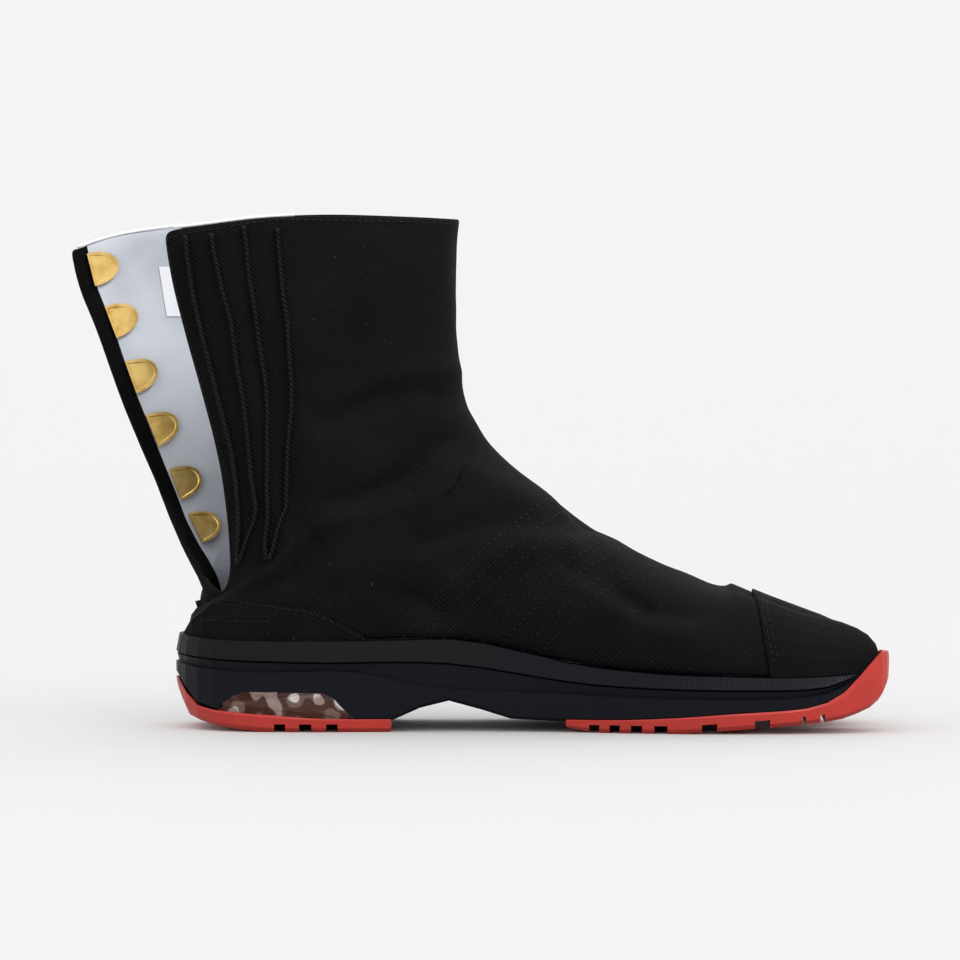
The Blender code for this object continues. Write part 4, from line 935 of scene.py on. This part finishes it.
# %% Piping along the collar
PIPING_RADIUS = 0.00060
PIPING_SIDES = 8
PIPING_STEP = 0.002
PIPING_ENDS = ((-1, 0.0024), (1, -0.0440))
PIPING_INWARDS = 0.0005
PIPING_RISE = 0.0006
RIM_FACES_UP = 0.7
RIM_LOWEST = 0.184
RIM_FACE_AREA = 4e-5
RIM_GAP = 0.03
rim = []
cad_upper = nodes["upper"].data
for polygon in cad_upper.polygons:
    is_small = polygon.area < RIM_FACE_AREA
    if polygon.normal.z > RIM_FACES_UP and polygon.center.z > RIM_LOWEST and is_small:
        rim.append(polygon.center.copy())
walk = [min(rim, key=lambda point: (point.y > 0, point.x))]
rim.remove(walk[0])
while rim:
    following = min(rim, key=lambda point: (point - walk[-1]).length)
    if (following - walk[-1]).length > RIM_GAP:
        break
    rim.remove(following)
    walk.append(following)
collar_line = []
for place in evened(softened(walk), PIPING_STEP):
    inwards = -outward(place)
    inwards.z = 0
    collar_line.append(place + inwards * PIPING_INWARDS + Vector((0, 0, PIPING_RISE)))
points = []
faces = []
for side, end_x in PIPING_ENDS:
    part_line = [place for place in collar_line if place.y * side > 0 and place.x < end_x]
    tube(part_line, PIPING_RADIUS, PIPING_SIDES, points, faces)
    print("piping length on side", side, "is", round(line_length(part_line), 3))
roll = add_mesh("lining_roll", points, faces, piping)
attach(roll, "root")

# %% [markdown]
# A small label is sewn to the lining. It is a grid dropped onto the lining from the middle of the shaft, and
# Solidify gives it its thickness.

# %% Label on the lining
LABEL_X = (-51.8, -42.4)
LABEL_Z = (163.4, 183.4)
LABEL_LEAN = 0.16
LABEL_STEPS = 6
LABEL_LIFT = 0.0004
LABEL_THICKNESS = 0.0003
shell_only = surface_tree(shell)
points = []
for i in range(LABEL_STEPS + 1):
    for j in range(LABEL_STEPS + 1):
        z = LABEL_Z[0] + (LABEL_Z[1] - LABEL_Z[0]) * i / LABEL_STEPS
        x = LABEL_X[0] + (LABEL_X[1] - LABEL_X[0]) * j / LABEL_STEPS - (z - LABEL_Z[0]) * LABEL_LEAN
        place = shell_only.ray_cast(Vector((x * MM, 0, z * MM)), Vector((0, 1, 0)))[0]
        points.append(place + Vector((0, -LABEL_LIFT, 0)))
faces = []
for i in range(LABEL_STEPS):
    for j in range(LABEL_STEPS):
        a = i * (LABEL_STEPS + 1) + j
        faces.append((a, a + 1, a + LABEL_STEPS + 2, a + LABEL_STEPS + 1))
label = add_mesh("label", points, faces, label_white, smooth=False)
label_thickness = label.modifiers.new("thickness", "SOLIDIFY")
label_thickness.thickness = LABEL_THICKNESS
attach(label, "root")
print("label size in millimetres:", round(LABEL_X[1] - LABEL_X[0], 1), "x", round(LABEL_Z[1] - LABEL_Z[0], 1))

# %% [markdown]
# ## The sole
#
# The moulded midsole has two tones, which meet at the step in its side. Two materials would need the faces
# split between them. Here the midsole is copied, and each face of the copy says with a number how far it
# belongs to the top band: that band is charcoal, and the wall below it is nearly navy.

# %% Midsole bands
STEP_LINE = (
    (-47, 29.7), (-27, 28.0), (-7, 27.2), (13, 27.1), (43, 27.5), (60, 27.2), (70, 25.6), (86, 23.5),
    (98, 21.5), (116, 19.0), (150, 17.4), (176, 17.0), (202, 17.2), (212, 18.0), (222, 22.9), (240, 32.0),
)
BAND_FADES = 95.0
BAND_FADE_LENGTH = 25.0
BAND_OVERLAP = 0.6
sole_mesh = nodes["midsole"].data.copy()
sole_mesh.name = "midsole_dressed"
midsole = bpy.data.objects.new("midsole_dressed", sole_mesh)
scene.collection.objects.link(midsole)
band_of = sole_mesh.attributes.new("top_band", "FLOAT", "FACE")
for polygon in sole_mesh.polygons:
    step_height = np.interp(polygon.center.x / MM, *zip(*STEP_LINE))
    fade = np.clip((BAND_FADES - polygon.center.x / MM) / BAND_FADE_LENGTH, 0.0, 1.0)
    above_step = float(polygon.center.z / MM > step_height - BAND_OVERLAP)
    band_of.data[polygon.index].value = above_step * fade
sole_mesh.materials.clear()
sole_mesh.materials.append(moulded)
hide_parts("midsole")
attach(midsole, "root")
print("midsole faces:", len(sole_mesh.polygons))

# %% [markdown]
# ## Nodes that keep their CAD shape
#
# The clasps, treads, air cell, insole and toe caps already have their final form, so they only get a finish.

# %% Finishes for the CAD nodes
for name, node in nodes.items():
    if name.startswith("clasp"):
        finish = brass
    elif name.startswith("outsole"):
        finish = red_rubber
    elif name == "air_cell":
        finish = clear
    elif name == "insole":
        finish = insole_grey
    elif name in sewn:
        finish = twill
    else:
        continue
    for index in range(len(node.material_slots)):
        node.material_slots[index].link = "OBJECT"
        node.material_slots[index].material = finish
    print(name, "is", finish.name)
